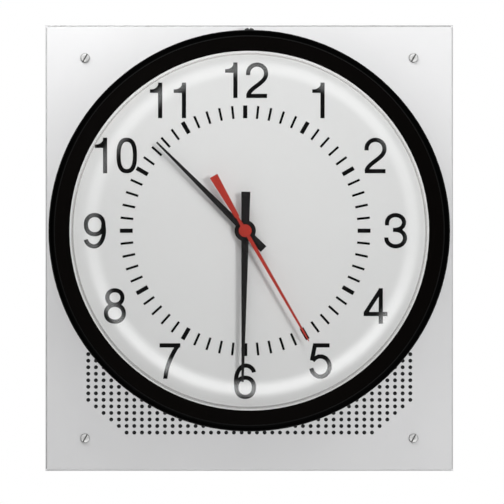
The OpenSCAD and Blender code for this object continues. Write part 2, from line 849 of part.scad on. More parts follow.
// Two screw blocks with the holes that the leads enter
module terminal_blocks()
  color([0.1, 0.45, 0.2]) stand() for (x = [-1, 1])
    translate([x * block_x - block_w / 2, block_y, board_back - block_h]) difference() {
      cube([block_w, block_d, block_h]);
      for (s = [0.25, 0.75]) translate([block_w * s, block_d * 0.6, -cut])
        cylinder(r = 1.8, h = block_h * 0.4);
    }

module module_cover()
  color([0.66, 0.67, 0.68]) on_tray() difference() {
    slab(tray_w, tray_h, tray_rear - tray_t, tray_rear);
    at_corners(tray_w / 2 - pillar_inset, tray_h / 2 - pillar_inset)
      rod(small_screw_r + 2 * fit, tray_rear - tray_t - cut, tray_rear + cut);
    for (i = [0:vent_count - 1])
      translate([vent_x + (i - (vent_count - 1) / 2) * vent_gap, sink_y, 0])
        slab(vent_w, vent_l, tray_rear - tray_t - cut, tray_rear + cut);
  }

module module_screws()
  color([0.78, 0.77, 0.74]) on_tray() {
    at_corners(board_w / 2 - board_hole_inset, board_h / 2 - board_hole_inset) {
      rod(small_screw_r - thread_gap, board_back, tray_back_sheet - 2);
      translate([0, 0, board_back]) mirror([0, 0, 1])
        slotted_head(small_head_r, small_head_h, 20);
    }
    at_corners(tray_w / 2 - pillar_inset, tray_h / 2 - pillar_inset) {
      rod(small_screw_r - thread_gap, tray_rear - tray_t, tray_rear + 7);
      translate([0, 0, tray_rear - tray_t]) mirror([0, 0, 1])
        slotted_head(small_head_r, small_head_h, 50);
    }
  }

// Point at share s of the smooth curve through b and c, with neighbours a and d
function smooth_point(a, b, c, d, s) =
  0.5 * (2 * b + (c - a) * s + (2 * a - 5 * b + 4 * c - d) * s * s
    + (3 * b - a - 3 * c + d) * s * s * s);

function smooth_path(p, steps) = concat(
  [for (i = [0:len(p) - 2], k = [0:steps - 1])
    smooth_point(p[max(i - 1, 0)], p[i], p[i + 1], p[min(i + 2, len(p) - 1)], k / steps)],
  [p[len(p) - 1]]
);

function unit(v) = v / norm(v);

function tangents(p) = [
  for (i = [0:len(p) - 1]) unit(p[min(i + 1, len(p) - 1)] - p[max(i - 1, 0)])
];

function square_to(v, t) = unit(v - (v * t) * t);

// A direction square to the path at each point, turned as little as possible
function side_vectors(t) = [
  for (i = 0, v = square_to([1, 0.2, 0.1], t[0]); i < len(t);
    i = i + 1, v = i < len(t) ? square_to(v, t[i]) : v) v
];

// Round lead of radius r swept along a route
module lead(route, r, sides = 8, steps = 3) {
  p = smooth_path(route, steps);
  t = tangents(p);
  v = side_vectors(t);
  n = len(p);
  points = [for (i = [0:n - 1], k = [0:sides - 1]) let (a = 360 * k / sides)
    p[i] + r * (cos(a) * v[i] + sin(a) * cross(t[i], v[i]))];
  walls = [for (i = [0:n - 2], k = [0:sides - 1]) let (j = (k + 1) % sides)
    [i * sides + k, (i + 1) * sides + k, (i + 1) * sides + j, i * sides + j]];
  quads = [for (q = walls) each [[q[0], q[1], q[2]], [q[0], q[2], q[3]]]];
  ends = [for (k = [1:sides - 2]) each [
    [0, k, k + 1],
    [(n - 1) * sides, (n - 1) * sides + k + 1, (n - 1) * sides + k]
  ]];
  polyhedron(points = points, faces = concat(quads, ends));
}

module speaker_lead() color([0.15, 0.15, 0.16]) stand() lead(speaker_route, lead_r);

module clock_lead()
  color([0.15, 0.15, 0.16]) stand() lead(concat(clock_route_behind, clock_route_front), lead_r);

module lead_grommet()
  color([0.08, 0.08, 0.08]) on_clock() translate([lead_x, lead_y, 0]) difference() {
    union() {
      rod(grommet_r + 1.5, plate_back - grommet_lip, plate_back);
      rod(grommet_r, plate_back, plate_depth);
      rod(grommet_r + 1.5, plate_depth, plate_depth + grommet_lip);
    }
    rod(lead_r + 3 * fit, plate_back - grommet_lip - cut, plate_depth + grommet_lip + cut);
  }

// Strap with a hook below, a lock tab above and four studs through the faceplate
module mounting_strap()
  color([0.74, 0.73, 0.7]) on_clock() {
    difference() {
      translate([-strap_w / 2, hook_y - strap_t, plate_depth])
        cube([strap_w, lock_tab_y - hook_y + strap_t, strap_t]);
      rod(strap_w / 4, plate_depth - cut, strap_front + cut);
    }
    translate([-tab_w / 2, hook_y - strap_t, plate_depth])
      cube([tab_w, strap_t, floor_front + slack + strap_t - plate_depth]);
    translate([-tab_w / 2, hook_y - strap_t, floor_front + slack])
      cube([tab_w, strap_t + hook_lip_h, strap_t]);
    difference() {
      translate([-tab_w / 2, lock_tab_y - strap_t, plate_depth])
        cube([tab_w, strap_t, lock_tab_reach]);
      translate([0, lock_tab_y, lock_z]) rotate([90, 0, 0])
        cylinder(r = lock_screw_r + fit / 3, h = 4 * strap_t, center = true);
    }
    for (x = [-1, 1], y = [strap_stud_low, strap_stud_high])
      translate([x * strap_stud_x, y, 0]) rod(stud_r, plate_back - nut_t - stud_end, plate_depth);
  }

module lock_screw()
  color([0.06, 0.06, 0.06]) on_clock() translate([0, bezel_r, lock_z]) rotate([-90, 0, 0]) {
    slotted_head(lock_head_r, lock_head_h, 0);
    rod(lock_screw_r, lock_tab_y - strap_t - slack - bezel_r, 0);
  }

// Round hole through the rim for the lock screw
module lock_hole(r)
  translate([0, bezel_r, lock_z]) rotate([90, 0, 0]) cylinder(r = r, h = 16, center = true);

module case_back()
  color([0.05, 0.05, 0.05]) on_clock() {
    difference() {
      union() {
        rod(case_r, floor_back, floor_front);
        tube(case_r, case_in_r, floor_back, case_top);
        tube(case_in_r, case_in_r - case_wall, plate_depth, floor_back);
        tube(seat_lip_r + seat_wall, seat_r, floor_front, dial_back);
        tube(seat_lip_r + seat_wall, seat_lip_r, dial_back, lens_seat - 2 * fit);
        for (i = [0:rib_count - 1]) rotate(i * 360 / rib_count)
          translate([rib_in_r, -rib_t / 2, floor_front - fit])
            cube([seat_r + seat_wall - rib_in_r, rib_t, rib_h]);
      }
      translate([-tab_w / 2 - cut, hook_y - strap_t - hook_lip_h - slack, plate_depth])
        cube([tab_w + 2 * cut, strap_t + hook_lip_h + slack, floor_front - plate_depth + cut]);
      translate([-tab_w / 2 - cut, lock_tab_y - strap_t - slack, plate_depth])
        cube([tab_w + 2 * cut, case_in_r - lock_tab_y + strap_t + slack, lock_tab_reach + cut]);
      translate([-strap_w / 2 - cut, lock_tab_y - strap_t - 2 * slack, plate_depth - cut])
        cube([strap_w + 2 * cut, case_in_r - lock_tab_y + strap_t + 2 * slack,
          floor_back - plate_depth + cut]);
      translate([lead_x, lead_y, 0]) rod(grommet_r + 2, floor_back - cut, floor_front + cut);
      lock_hole(lock_screw_r + slack);
      for (i = [0:catch_count - 1]) rotate(i * 360 / catch_count)
        translate([case_in_r - cut, -catch_w / 2 - slack, catch_z - fit])
          cube([case_wall + 3 * cut, catch_w + 2 * slack, catch_h + 2 * fit]);
    }
  }

function bezel_outline() = concat(
  [[bezel_r, bezel_rear]],
  [for (a = [0:10:90])
    [bezel_step_r + 0.2 + (bezel_r - bezel_step_r - 0.2) * cos(a),
      bezel_front - 5.6 + 4.9 * sin(a)]],
  [
    [bezel_step_r, bezel_front],
    [bezel_open_r + 1, bezel_front - bezel_slope],
    [bezel_open_r, bezel_front - bezel_slope - 1.2],
    [bezel_open_r, lens_flange_top],
    [bezel_open_r + bezel_wall, lens_flange_top],
    [bezel_open_r + bezel_wall, bezel_front - bezel_slope - 1.4],
    [bezel_step_r - 0.4, bezel_front - 2.6],
    [skirt_in_r, bezel_front - 6.4],
    [skirt_in_r, bezel_rear]
  ]
);

module bezel()
  color([0.05, 0.05, 0.05]) on_clock() {
    difference() {
      rotate_extrude($fn = 180) polygon(bezel_outline());
      lock_hole(lock_screw_r + fit);
    }
    for (i = [0:catch_count - 1]) rotate(i * 360 / catch_count) intersection() {
      tube(skirt_in_r + fit, skirt_in_r - catch_depth, catch_z, catch_z + catch_h);
      translate([case_in_r - 2 * cut, -catch_w / 2, catch_z])
        cube([bezel_r - case_in_r, catch_w, catch_h]);
    }
  }

// Radius of the arc that takes the dome from its flat middle to the flange
dome_run = lens_edge_r - lens_flat_r;
dome_arc_r = (dome_run * dome_run + lens_dome_h * lens_dome_h) / (2 * lens_dome_h);
dome_arc_end = asin(dome_run / dome_arc_r);

function dome_arc(r) = [
  for (i = [0:12]) let (a = dome_arc_end * i / 12)
    [lens_flat_r + r * sin(a), lens_front - dome_arc_r + r * cos(a)]
];

function reversed(list) = [for (i = [len(list) - 1:-1:0]) list[i]];

module lens()
  color([0.8, 0.85, 0.88, 0.3]) on_clock() rotate_extrude($fn = 180) polygon(concat(
    [[0, lens_front]],
    dome_arc(dome_arc_r),
    [
      [lens_flange_r, lens_flange_top],
      [lens_flange_r, lens_seat],
      [lens_edge_r - lens_t * 0.4, lens_seat]
    ],
    [for (p = reversed(dome_arc(dome_arc_r - lens_t))) if (p[1] > lens_seat + 1.5) p],
    [[0, lens_front - lens_t]]
  ));

module dial_ring()
  color([0.75, 0.75, 0.74]) on_clock() tube(dial_r, bezel_open_r + 1.2, dial_front, lens_seat);

module dial()
  color([0.9, 0.9, 0.89]) on_clock() difference() {
    rod(dial_r, dial_back, dial_front);
    translate([dial_dx, 0, 0]) rod(bushing_r + fit, dial_back - cut, dial_front + cut);
  }

module minute_marks()
  color([0.05, 0.05, 0.05]) on_dial() for (i = [0:59]) rotate(-6 * i) {
    w = i % 5 == 0 ? mark_wide : mark_thin;
    translate([-w / 2, mark_in_r, dial_front]) cube([w, mark_out_r - mark_in_r, ink_t]);
  }

// Left normal of one piece of a path, and the mitred normal at each of its points
function piece_normal(p, i) = let (d = p[i + 1] - p[i]) [-d[1], d[0]] / norm(d);

function join_normal(p, i) =
  i == 0 ? piece_normal(p, 0)
  : i == len(p) - 1 ? piece_normal(p, i - 1)
  : let (s = piece_normal(p, i - 1) + piece_normal(p, i)) 2 * s / (s * s);

module pen(p) {
  half = numeral_stroke / 2;
  polygon(concat(
    [for (i = [0:len(p) - 1]) p[i] + half * join_normal(p, i)],
    [for (i = [len(p) - 1:-1:0]) p[i] - half * join_normal(p, i)]
  ));
}

function arc(x, y, rx, ry, from, to) = [
  for (i = [0:14]) let (a = from + (to - from) * i / 14) [x + rx * cos(a), y + ry * sin(a)]
];

function bow(a, b, c, d) = [
  for (i = [0:14]) let (s = i / 14, u = 1 - s)
    u * u * u * a + 3 * u * u * s * b + 3 * u * s * s * c + s * s * s * d
];

function squared_oval(rx, ry, power) = [
  for (a = [0:7.5:352.5])
    [rx * sign(cos(a)) * pow(abs(cos(a)), 2 / power), ry * sign(sin(a)) * pow(abs(sin(a)), 2 / power)]
];

module loop(y, rx, ry, power)
  translate([0, y]) difference() {
    polygon(squared_oval(rx + numeral_stroke / 2, ry + numeral_stroke / 2, power));
    polygon(squared_oval(rx - numeral_stroke / 2, ry - numeral_stroke / 2, power));
  }

// Figures are drawn about their centre; b is half the height of their pen path
module figure(n) {
  top = numeral_h / 2;
  b = top - numeral_stroke / 2;
  k = b / 12.9;
  bar_w = 16.8;
  if (n == 0) loop(0, 6.6, b, 2.5);
  if (n == 1) {
    translate([0, -top]) square([numeral_stroke, numeral_h]);
    polygon(concat(
      [[numeral_stroke / 2, top], [numeral_stroke / 2, top - 8.3], [-6.6, top - 8.3],
        [-6.6, top - 5.4]],
      [for (a = [0:15:90]) [-5.4 + 5.8 * sin(a), top - 5.4 * cos(a)]]
    ));
  }
  if (n == 2) {
    pen(concat(
      [[-7.2, 4.2 * k]],
      arc(0, b - 7 * k, 7.2, 7 * k, 180, 0),
      bow([7.2, 5 * k], [7.2, -2.5 * k], [-6.6, -6 * k], [-7.2, -b])
    ));
    translate([-bar_w / 2 - 0.3, -top]) square([bar_w, numeral_stroke]);
  }
  if (n == 3) {
    pen(concat(
      [[-7, 4.4 * k]],
      arc(-0.1, 6.8 * k, 6.9, b - 6.8 * k, 180, -90),
      [[-2.2, 0.7 * k]]
    ));
    pen(concat([[-0.1, 0.7 * k]], arc(0, -6.1 * k, 7.6, 6.8 * k, 90, -180), [[-7.6, -5.5 * k]]));
  }
  if (n == 4) {
    translate([4.25 - numeral_stroke / 2, -top]) square([numeral_stroke, numeral_h]);
    translate([-9.6, -6.6 * k - numeral_stroke / 2]) {
      square([bar_w + 2.4, numeral_stroke]);
      intersection() {
        translate([9.6, 6.6 * k + numeral_stroke / 2]) pen([[-9.6, -8.4 * k], [5.4, 15.2 * k]]);
        square([13.85 + numeral_stroke / 2, top + 6.6 * k + numeral_stroke / 2]);
      }
    }
  }
  if (n == 5) {
    translate([-6, top - numeral_stroke]) square([13.4, numeral_stroke]);
    pen([[-4.5, b], [-6.9, 0.4 * k]]);
    pen(arc(0, -4.5 * k, 7.5, 8.4 * k, 146, -170));
  }
  if (n == 6) {
    loop(-5 * k, 7.1, b - 5 * k, 2.15);
    pen(concat(arc(0.4, 5.5 * k, 7, b - 5.5 * k, 14, 90), arc(0.4, 0, 7.9, b, 96, 204)));
  }
  if (n == 7) {
    translate([-bar_w / 2, top - numeral_stroke]) square([bar_w, numeral_stroke]);
    intersection() {
      pen(bow([7.2, b + 1], [2, 6.5 * k], [-2.8, -3 * k], [-3.8, -top - 0.5]));
      translate([-9, -top]) square([17.4, numeral_h]);
    }
  }
  if (n == 8) {
    loop(7 * k, 6.1, b - 7 * k, 2.1);
    loop(-6 * k, 7.2, b - 6 * k, 2.1);
  }
  if (n == 9) rotate(180) figure(6);
}

module numeral(hour)
  if (hour < 10) figure(hour);
  else {
    translate([-numeral_advance / 2, 0]) figure(1);
    translate([numeral_advance / 2, 0]) figure(hour - 10);
  }

module dial_numerals()
  color([0.05, 0.05, 0.05]) on_dial() translate([0, 0, dial_front]) linear_extrude(ink_t)
    for (hour = [1:12])
      translate(numeral_circle_r * [sin(30 * hour), cos(30 * hour)]) numeral(hour);

// Gear outline with a tooth on the +X axis
function tooth_points(n, m) = [
  for (i = [0:n - 1], k = [0:3]) let (
    share = [-tooth_root_share, -tooth_tip_share, tooth_tip_share, tooth_root_share][k],
    r = m * n / 2 + (k == 1 || k == 2 ? addendum : -dedendum) * m,
    a = (i + share / 2) * 360 / n
  ) r * [cos(a), sin(a)]
];

// Gear whose tooth, or whose gap, faces the direction toward
module gear(n, m, low, t, bore, toward, gap = false)
  translate([0, 0, low]) rotate(toward + (gap ? 180 / n : 0)) linear_extrude(t) difference() {
    polygon(tooth_points(n, m));
    circle(bore);
  }

// A wheel has its pinion on the same arbor, centred on a level of its own
module pinion(n, m, wheel_low, bore, toward, gap = false)
  gear(n, m, wheel_low - (pinion_t - wheel_t) / 2, pinion_t, bore, toward, gap);

// Outline of a hand from the points of its right side, tail to tip
function both_sides(right) = concat(right, reversed([for (p = right) [-p[0], p[1]]]));

module hour_hand() {
  hub_z = hour_hand_z - 1.2;
  color([0.04, 0.04, 0.04]) on_dial() difference() {
    union() {
      translate([0, 0, hour_hand_z]) rotate(-hour_hand_angle) linear_extrude(hand_t) {
        polygon(both_sides([
          [hour_tail_half, -hour_tail_len], [hour_mid_half, 0], [hour_tip_half, hour_hand_len]
        ]));
        circle(hour_hub_r);
      }
      rod(hour_tube_r + collet_wall, hub_z, hour_hand_z);
    }
    rod(hour_tube_r + run_gap / 2, hub_z - cut, hour_hand_z + hand_t + cut);
  }
}

module minute_hand() {
  hub_z = minute_hand_z - 1.1;
  color([0.04, 0.04, 0.04]) on_dial() difference() {
    union() {
      translate([0, 0, minute_hand_z]) rotate(-minute_hand_angle) linear_extrude(hand_t) {
        polygon(both_sides([
          [minute_tail_half, -minute_tail_len], [minute_tip_half, minute_hand_len]
        ]));
        circle(minute_hub_r);
      }
      rod(minute_tube_r + collet_wall, hub_z, minute_hand_z);
    }
    rod(minute_tube_r + run_gap / 2, hub_z - cut, minute_hand_z + hand_t + cut);
  }
}

module second_hand()
  color([0.72, 0.16, 0.1]) on_dial() difference() {
    union() {
      translate([0, 0, second_hand_z]) rotate(-second_hand_angle) linear_extrude(hand_t)
        polygon(both_sides([
          [second_tail_half, -second_tail_len],
          [second_neck_half, -second_neck_len],
          [second_waist_half, -second_neck_len + second_neck_half - second_waist_half],
          [second_mid_half, 0],
          [second_end_half, second_hand_len - second_point_len],
          [second_tip_half, second_hand_len]
        ]));
      translate([0, 0, second_hand_z - second_cap_drop]) rod(second_hub_r, 0, second_cap_h);
    }
    rod(second_arbor_r + run_gap / 2, second_hand_z - cut, second_hand_z + hand_t);
  }

module hour_wheel()
  color([0.95, 0.93, 0.85]) on_dial() {
    gear(hour_teeth, motion_module, hour_wheel_z, wheel_t, minute_tube_r + run_gap, -90, true);
    tube(hour_tube_r, minute_tube_r + run_gap, hour_wheel_z + wheel_t, hour_hand_z + hand_t + tube_proud);
  }

// Motion wheel and its pinion, turning on a post above the centre
module motion_wheel() {
  bore = second_arbor_r + run_gap;
  color([0.95, 0.93, 0.85]) on_dial() translate([0, motion_dist, 0]) {
    gear(motion_teeth, motion_module, motion_wheel_z, wheel_t, bore, -90, true);
    gear(motion_pinion_teeth, motion_module, motion_wheel_z + wheel_t,
      hour_wheel_z + wheel_t - motion_wheel_z - wheel_t, bore, -90);
  }
}

// Minute wheel, its tube and the cannon pinion on one piece
module minute_wheel() {
  bore = second_arbor_r + run_gap;
  color([0.85, 0.7, 0.3]) on_dial() {
    gear(minute_teeth, train_module, minute_wheel_z, wheel_t, bore, 180, true);
    tube(minute_tube_r, bore, minute_wheel_z + wheel_t, minute_hand_z + hand_t + tube_proud);
    gear(cannon_teeth, motion_module, motion_wheel_z, wheel_t, minute_tube_r, 90);
  }
}

// Arbor between the pivot bosses of the two shells
module arbor()
  rod(second_arbor_r, back_inside + back_boss_h - pivot_depth,
    front_inside - front_boss_h + pivot_depth);

module minute_intermediate()
  color([0.95, 0.93, 0.85]) on_dial() translate([minute_inter_x, 0, 0]) {
    arbor();
    pinion(minute_inter_pinion, train_module, minute_wheel_z, second_arbor_r, 0);
    gear(inter_teeth, train_module, minute_inter_z, wheel_t, second_arbor_r,
      minute_rotor_dir, true);
  }

module second_intermediate()
  color([0.95, 0.93, 0.85]) on_dial() translate([second_inter_x, 0, 0]) {
    arbor();
    pinion(second_inter_pinion, train_module, second_wheel_z, second_arbor_r, 180);
    gear(inter_teeth, train_module, second_inter_z, wheel_t, second_arbor_r,
      second_rotor_dir, true);
  }

// Second arbor and its wheel
module second_wheel()
  color([0.85, 0.7, 0.3]) on_dial() {
    rod(second_arbor_r, back_inside + back_boss_h - pivot_depth, second_hand_z + hand_t - 0.1);
    gear(second_teeth, train_module, second_wheel_z, wheel_t, second_arbor_r, 0, true);
  }

// Rotor magnet, arbor and pinion
module rotor(x, wheel_low, toward)
  on_dial() translate([x, rotor_y, 0]) {
    arbor();
    tube(rotor_magnet_r, second_arbor_r, magnet_z, magnet_z + rotor_magnet_t);
    pinion(rotor_teeth, train_module, wheel_low, second_arbor_r, toward);
  }

module minute_rotor()
  color([0.3, 0.3, 0.32]) rotor(minute_rotor_x, minute_inter_z, minute_rotor_dir + 180);

module second_rotor()
  color([0.3, 0.3, 0.32]) rotor(second_rotor_x, second_inter_z, second_rotor_dir + 180);

// Centres of the four arbors beside the middle
function arbor_places() = [
  [minute_inter_x, 0], [second_inter_x, 0], [minute_rotor_x, rotor_y], [second_rotor_x, rotor_y]
];

module movement_front_shell()
  color([0.92, 0.92, 0.9]) on_dial() difference() {
    union() {
      difference() {
        slab(move_w, move_h, shell_split, move_front);
        slab(move_w - 2 * move_wall, move_h - 2 * move_wall, shell_split - cut, front_inside);
      }
      rod(bushing_r, front_inside, bushing_top);
      for (p = arbor_places()) translate(p) rod(boss_r, front_inside - front_boss_h, front_inside);
      translate([0, motion_dist, 0]) rod(second_arbor_r, motion_wheel_z - 0.4, front_inside);
      at_corners(move_w / 2 - shell_screw_inset, move_h / 2 - shell_screw_inset)
        rod(shell_boss_r, shell_split, front_inside);
    }
    rod(hour_tube_r + run_gap, shell_split, bushing_top + cut);
    for (p = arbor_places()) translate(p)
      rod(second_arbor_r + run_gap, front_inside - front_boss_h - cut,
        front_inside - front_boss_h + pivot_depth + fit);
    at_corners(move_w / 2 - shell_screw_inset, move_h / 2 - shell_screw_inset)
      rod(shell_screw_r, shell_split - cut, front_inside - 2);
  }

module movement_back_shell()
  color([0.92, 0.92, 0.9]) on_dial() difference() {
    union() {
      difference() {
        slab(move_w, move_h, move_back, shell_split);
        slab(move_w - 2 * move_wall, move_h - 2 * move_wall, back_inside, shell_split + cut);
      }
      for (p = concat(arbor_places(), [[0, 0]])) translate(p)
        rod(boss_r, back_inside, back_inside + back_boss_h);
      at_corners(move_w / 2 - shell_screw_inset, move_h / 2 - shell_screw_inset)
        rod(shell_boss_r, back_inside, shell_split);
      for (x = [minute_rotor_x, second_rotor_x], side = [-1, 1], y = [core_y, rotor_y])
        translate([x + side * (stator_half_w - 1.6), y, 0]) rod(post_r, back_inside, stator_z);
      for (x = [-1, 1]) translate([x * (move_board_w / 2 - 4), move_board_y, 0])
        rod(2, back_inside, move_board_z);
    }
    for (p = concat(arbor_places(), [[0, 0]])) translate(p)
      rod(second_arbor_r + run_gap, back_inside + back_boss_h - pivot_depth - fit,
        back_inside + back_boss_h + cut);
    at_corners(move_w / 2 - shell_screw_inset, move_h / 2 - shell_screw_inset)
      rod(shell_screw_r + fit, move_back - cut, shell_split + cut);
    translate([move_w / 2, socket_y, move_board_z + move_board_t + socket_h / 2])
      cube([4 * move_wall, socket_l + 2 * fit, socket_h + 2 * fit], center = true);
  }

module movement_screws()
  color([0.78, 0.77, 0.74]) on_dial()
    at_corners(move_w / 2 - shell_screw_inset, move_h / 2 - shell_screw_inset) {
      rod(shell_screw_r - thread_gap, move_back, front_inside - 2.5);
      translate([0, 0, move_back]) mirror([0, 0, 1]) slotted_head(1.9, 1.3, 35);
    }

module movement_gasket()
  color([0.1, 0.1, 0.1]) on_dial() tube(move_washer_r, bushing_r + fit, move_front, dial_back);

// Brass washer and hexagon nut on the bushing
module movement_nut()
  color([0.82, 0.68, 0.32]) on_dial() {
    tube(nut_washer_r, bushing_r + fit, dial_front, dial_front + nut_washer_t);
    translate([0, 0, dial_front + nut_washer_t]) difference() {
      cylinder(r = bushing_nut_r, h = bushing_nut_t, $fn = 6);
      translate([0, 0, -cut]) cylinder(r = bushing_r + fit / 3, h = bushing_nut_t + 2 * cut);
    }
  }

// Laminated frame round one rotor, closed by the bar that carries its coil
module stator(x)
  translate([x, 0, stator_z]) linear_extrude(stator_t) difference() {
    union() {
      translate([-stator_half_w, core_y - stator_bar / 2])
        square([2 * stator_half_w, rotor_y + 3 - core_y + stator_bar / 2]);
      translate([0, rotor_y]) circle(rotor_hole_r + 2.2);
    }
    translate([-stator_half_w + stator_bar, core_y + stator_bar / 2])
      square([2 * (stator_half_w - stator_bar), rotor_y - 6.6 - core_y - stator_bar / 2]);
    translate([0, rotor_y]) circle(rotor_hole_r);
  }

module stators()
  color([0.6, 0.6, 0.62]) on_dial() for (x = [minute_rotor_x, second_rotor_x]) stator(x);

module motor_coils()
  color([0.75, 0.35, 0.15]) on_dial() for (x = [minute_rotor_x, second_rotor_x])
    translate([x, core_y, stator_z + stator_t / 2]) rotate([0, 90, 0]) difference() {
      cylinder(r = coil_r, h = 2 * coil_half_l, center = true);
      cube([stator_t + fit, stator_bar + fit, 2 * coil_half_l + cut], center = true);
    }

module movement_circuit_board()
  color([0.05, 0.35, 0.16]) on_dial() translate([0, move_board_y, 0]) difference() {
    slab(move_board_w, move_board_h, move_board_z, move_board_z + move_board_t);
    for (x = [-1, 1]) translate([x * board_pin_x, 0, 0])
      rod(board_pin_r, move_board_z - cut, move_board_z + move_board_t + cut);
  }

// Plug housing at the end of the clock's lead, seated in the movement's side
module movement_socket()
  color([0.93, 0.93, 0.9]) on_dial()
    translate([move_board_w / 2 - socket_overlap, socket_y - socket_l / 2, move_board_z + move_board_t])
      cube([move_w / 2 + socket_reach - move_board_w / 2 + socket_overlap, socket_l, socket_h]);

faceplate();
plate_studs();
mounting_screws();
stud_nuts();
grille_cloth();
speaker_baffle();
speaker_gasket();
speaker_frame();
speaker_surround();
speaker_spider();
speaker_top_plate();
speaker_magnet();
speaker_yoke();
speaker_terminals();
speaker_cone();
speaker_dust_cap();
voice_coil();
module_tray();
network_circuit_board();
network_jack();
board_chips();
amplifier_heat_sink();
capacitors();
terminal_blocks();
module_cover();
module_screws();
speaker_lead();
clock_lead();
lead_grommet();
mounting_strap();
lock_screw();
case_back();
bezel();
lens();
dial_ring();
dial();
dial_numerals();
minute_marks();
movement_front_shell();
movement_back_shell();
movement_screws();
movement_gasket();
movement_nut();
stators();
motor_coils();
movement_circuit_board();
movement_socket();
hour_hand();
hour_wheel();
motion_wheel();
minute_hand();
minute_wheel();
minute_intermediate();
minute_rotor();
second_hand();
second_wheel();
second_intermediate();
second_rotor();
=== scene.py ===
"""Looks of the wall clock over its loudspeaker faceplate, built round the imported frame.

Lengths are metres in the frame's axes: +X to the viewer's right, +Z up, the dial looks along -Y.
"""
import math
import random

import bpy
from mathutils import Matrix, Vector


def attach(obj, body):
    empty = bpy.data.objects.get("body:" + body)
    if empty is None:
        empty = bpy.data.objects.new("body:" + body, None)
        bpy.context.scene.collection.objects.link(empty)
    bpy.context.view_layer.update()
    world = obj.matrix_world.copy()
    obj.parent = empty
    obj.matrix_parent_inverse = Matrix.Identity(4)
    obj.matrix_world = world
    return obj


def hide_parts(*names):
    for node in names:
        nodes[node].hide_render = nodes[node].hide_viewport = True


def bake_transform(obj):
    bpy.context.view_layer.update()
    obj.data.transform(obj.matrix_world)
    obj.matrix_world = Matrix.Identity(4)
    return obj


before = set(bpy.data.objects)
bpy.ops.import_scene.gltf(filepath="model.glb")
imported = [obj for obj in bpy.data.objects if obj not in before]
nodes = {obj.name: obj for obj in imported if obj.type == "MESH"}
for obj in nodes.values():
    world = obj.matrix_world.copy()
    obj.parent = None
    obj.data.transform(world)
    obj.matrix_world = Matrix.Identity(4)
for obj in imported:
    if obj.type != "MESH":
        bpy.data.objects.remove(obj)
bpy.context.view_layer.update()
ROOT = "faceplate_assembly"

# Places in the frame
CLOCK_Z = 0.014
FLOOR_Z = -0.30

# Lens: flat front, arc that turns down to a flange, its wall and its share of mirrored light
LENS_FRONT_Y = -0.0555
LENS_FLAT_R = 0.115
LENS_EDGE_R = 0.144
LENS_FLANGE_R = 0.154
LENS_FLANGE_Y = -0.0445
LENS_SEAT_Y = -0.0425
LENS_WALL = 0.002
LENS_ARC_R = 0.0437273
WALL_GLOSS = 0.04
FLANGE_UNDERCUT = 0.4 * LENS_WALL
FLANGE_ROOT = 0.0002
FLANGE_EASE = 0.0003
INNER_CLEAR = 0.0015
LENS_ARC_STEPS = 36
LENS_FLAT_STEPS = 8
LENS_SIDES = 240

# Lens: where its narrow dark line and its painted highlight line begin
SHADE_LINE_R = 0.1418
HIGHLIGHT_LINE_R = 0.1430

# Plate's front, and the painted shade along its folds: where it fades in, in widths of its band
PLATE_HALF_W = 0.165
PLATE_HALF_H = 0.1805
PLATE_FRONT_Y = -0.0127
FOLD_BAND = 0.0014
FOLD_PAINTED_SHADE = 0.4
SIDE_FOLD_END = 0.4
SIDE_FOLD_SHARE = 0.5
TOP_FOLD_START = 1.3
TOP_FOLD_END = 0.6
FRONT_SKIN_START = 0.0008
FRONT_SKIN_END = 0.0014

# Wall screws: the slot's floor above the plate, and how far its painted shade fades
SLOT_FLOOR = 0.0011
SLOT_SHADE_FADE = 0.0003

# Bezel: the step round its face, the painted shade on the shoulder beyond it and the painted
# highlight line on it
STEP_R = 0.1567
SHOULDER_SHADE_FADE = 0.0006
STEP_HIGHLIGHT_R = STEP_R + 0.0004
STEP_HIGHLIGHT_CORE = 0.0002
STEP_HIGHLIGHT_REACH = 0.0007

# Perforated field and the cloth glued behind it, with its notches round the lower wall screws
FIELD_Z = -0.10179
CLOTH_W = 0.27
CLOTH_H = 0.104395
CLOTH_FRONT_Y = -0.0115
CLOTH_T = 0.0004
CLOTH_COLUMNS = 180
CLOTH_ROWS = 70
NOTCH_X = 0.133
NOTCH_Z = -0.154
NOTCH_R = 0.00408
SPEAKER_OPEN_R = 0.057

# How the cloth gives way over the loudspeaker: its depth, its plain share and its two ripples
CLOTH_SAG = 0.0006
SAG_PLAIN = 0.6
SAG_RIPPLED = 0.4
FINE_RIPPLES = 9
FINE_TWIST = 4
BROAD_RIPPLES = 5
BROAD_START = 1.3

# Loose threads along the cloth's cut edges
THREAD_SEED = 7
THREAD_MARGIN = 0.006
THREAD_REACH = (0.0003, 0.0011)
THREAD_LEAN = 0.0004
THREAD_GAP = (0.0012, 0.0028)
THREAD_HALF_W = 0.00009
THREAD_ROOT = 0.0006
THREAD_DEPTHS = (0.00006, 0.00022)
BOX_FACES = ((0, 1, 3, 2), (4, 6, 7, 5), (0, 4, 5, 1), (2, 3, 7, 6), (0, 2, 6, 4), (1, 5, 7, 3))

# Loudspeaker's suspension between the cone and the basket: levels towards the viewer
BASKET_IN_R = 0.05
LANDING = 0.0054
BASKET_FLOOR = -0.0146
SECTORS = 24
SECTOR_STEPS = 5
WAVE_STEPS = 16
CREASE_ANGLE = 50

# Its two pressed rings: inner rim, waves and outer rim, how high and how many waves, and the wall
SURROUND_RADII = (0.0426, 0.0442, BASKET_IN_R, 0.0558)
SURROUND_SWING = 0.0016
SURROUND_WAVES = 2
SURROUND_WALL = 0.0004
SPIDER_RADII = (0.01305, 0.015, 0.0257, 0.0277)
SPIDER_SWING = 0.0008
SPIDER_WAVES = 3
SPIDER_WALL = 0.0003
SPIDER_LIFT = 0.05

# Photograph: 504 pixels across, almost square on
METRES_PER_PIXEL = 0.000811
FRAME_PIXELS = 504
CAMERA_FAR = 9.0
CAMERA_X = 0.0022
CAMERA_Z = -0.00317
CLIP_START = 0.1
CLIP_END = 40
SENSOR = 36.0


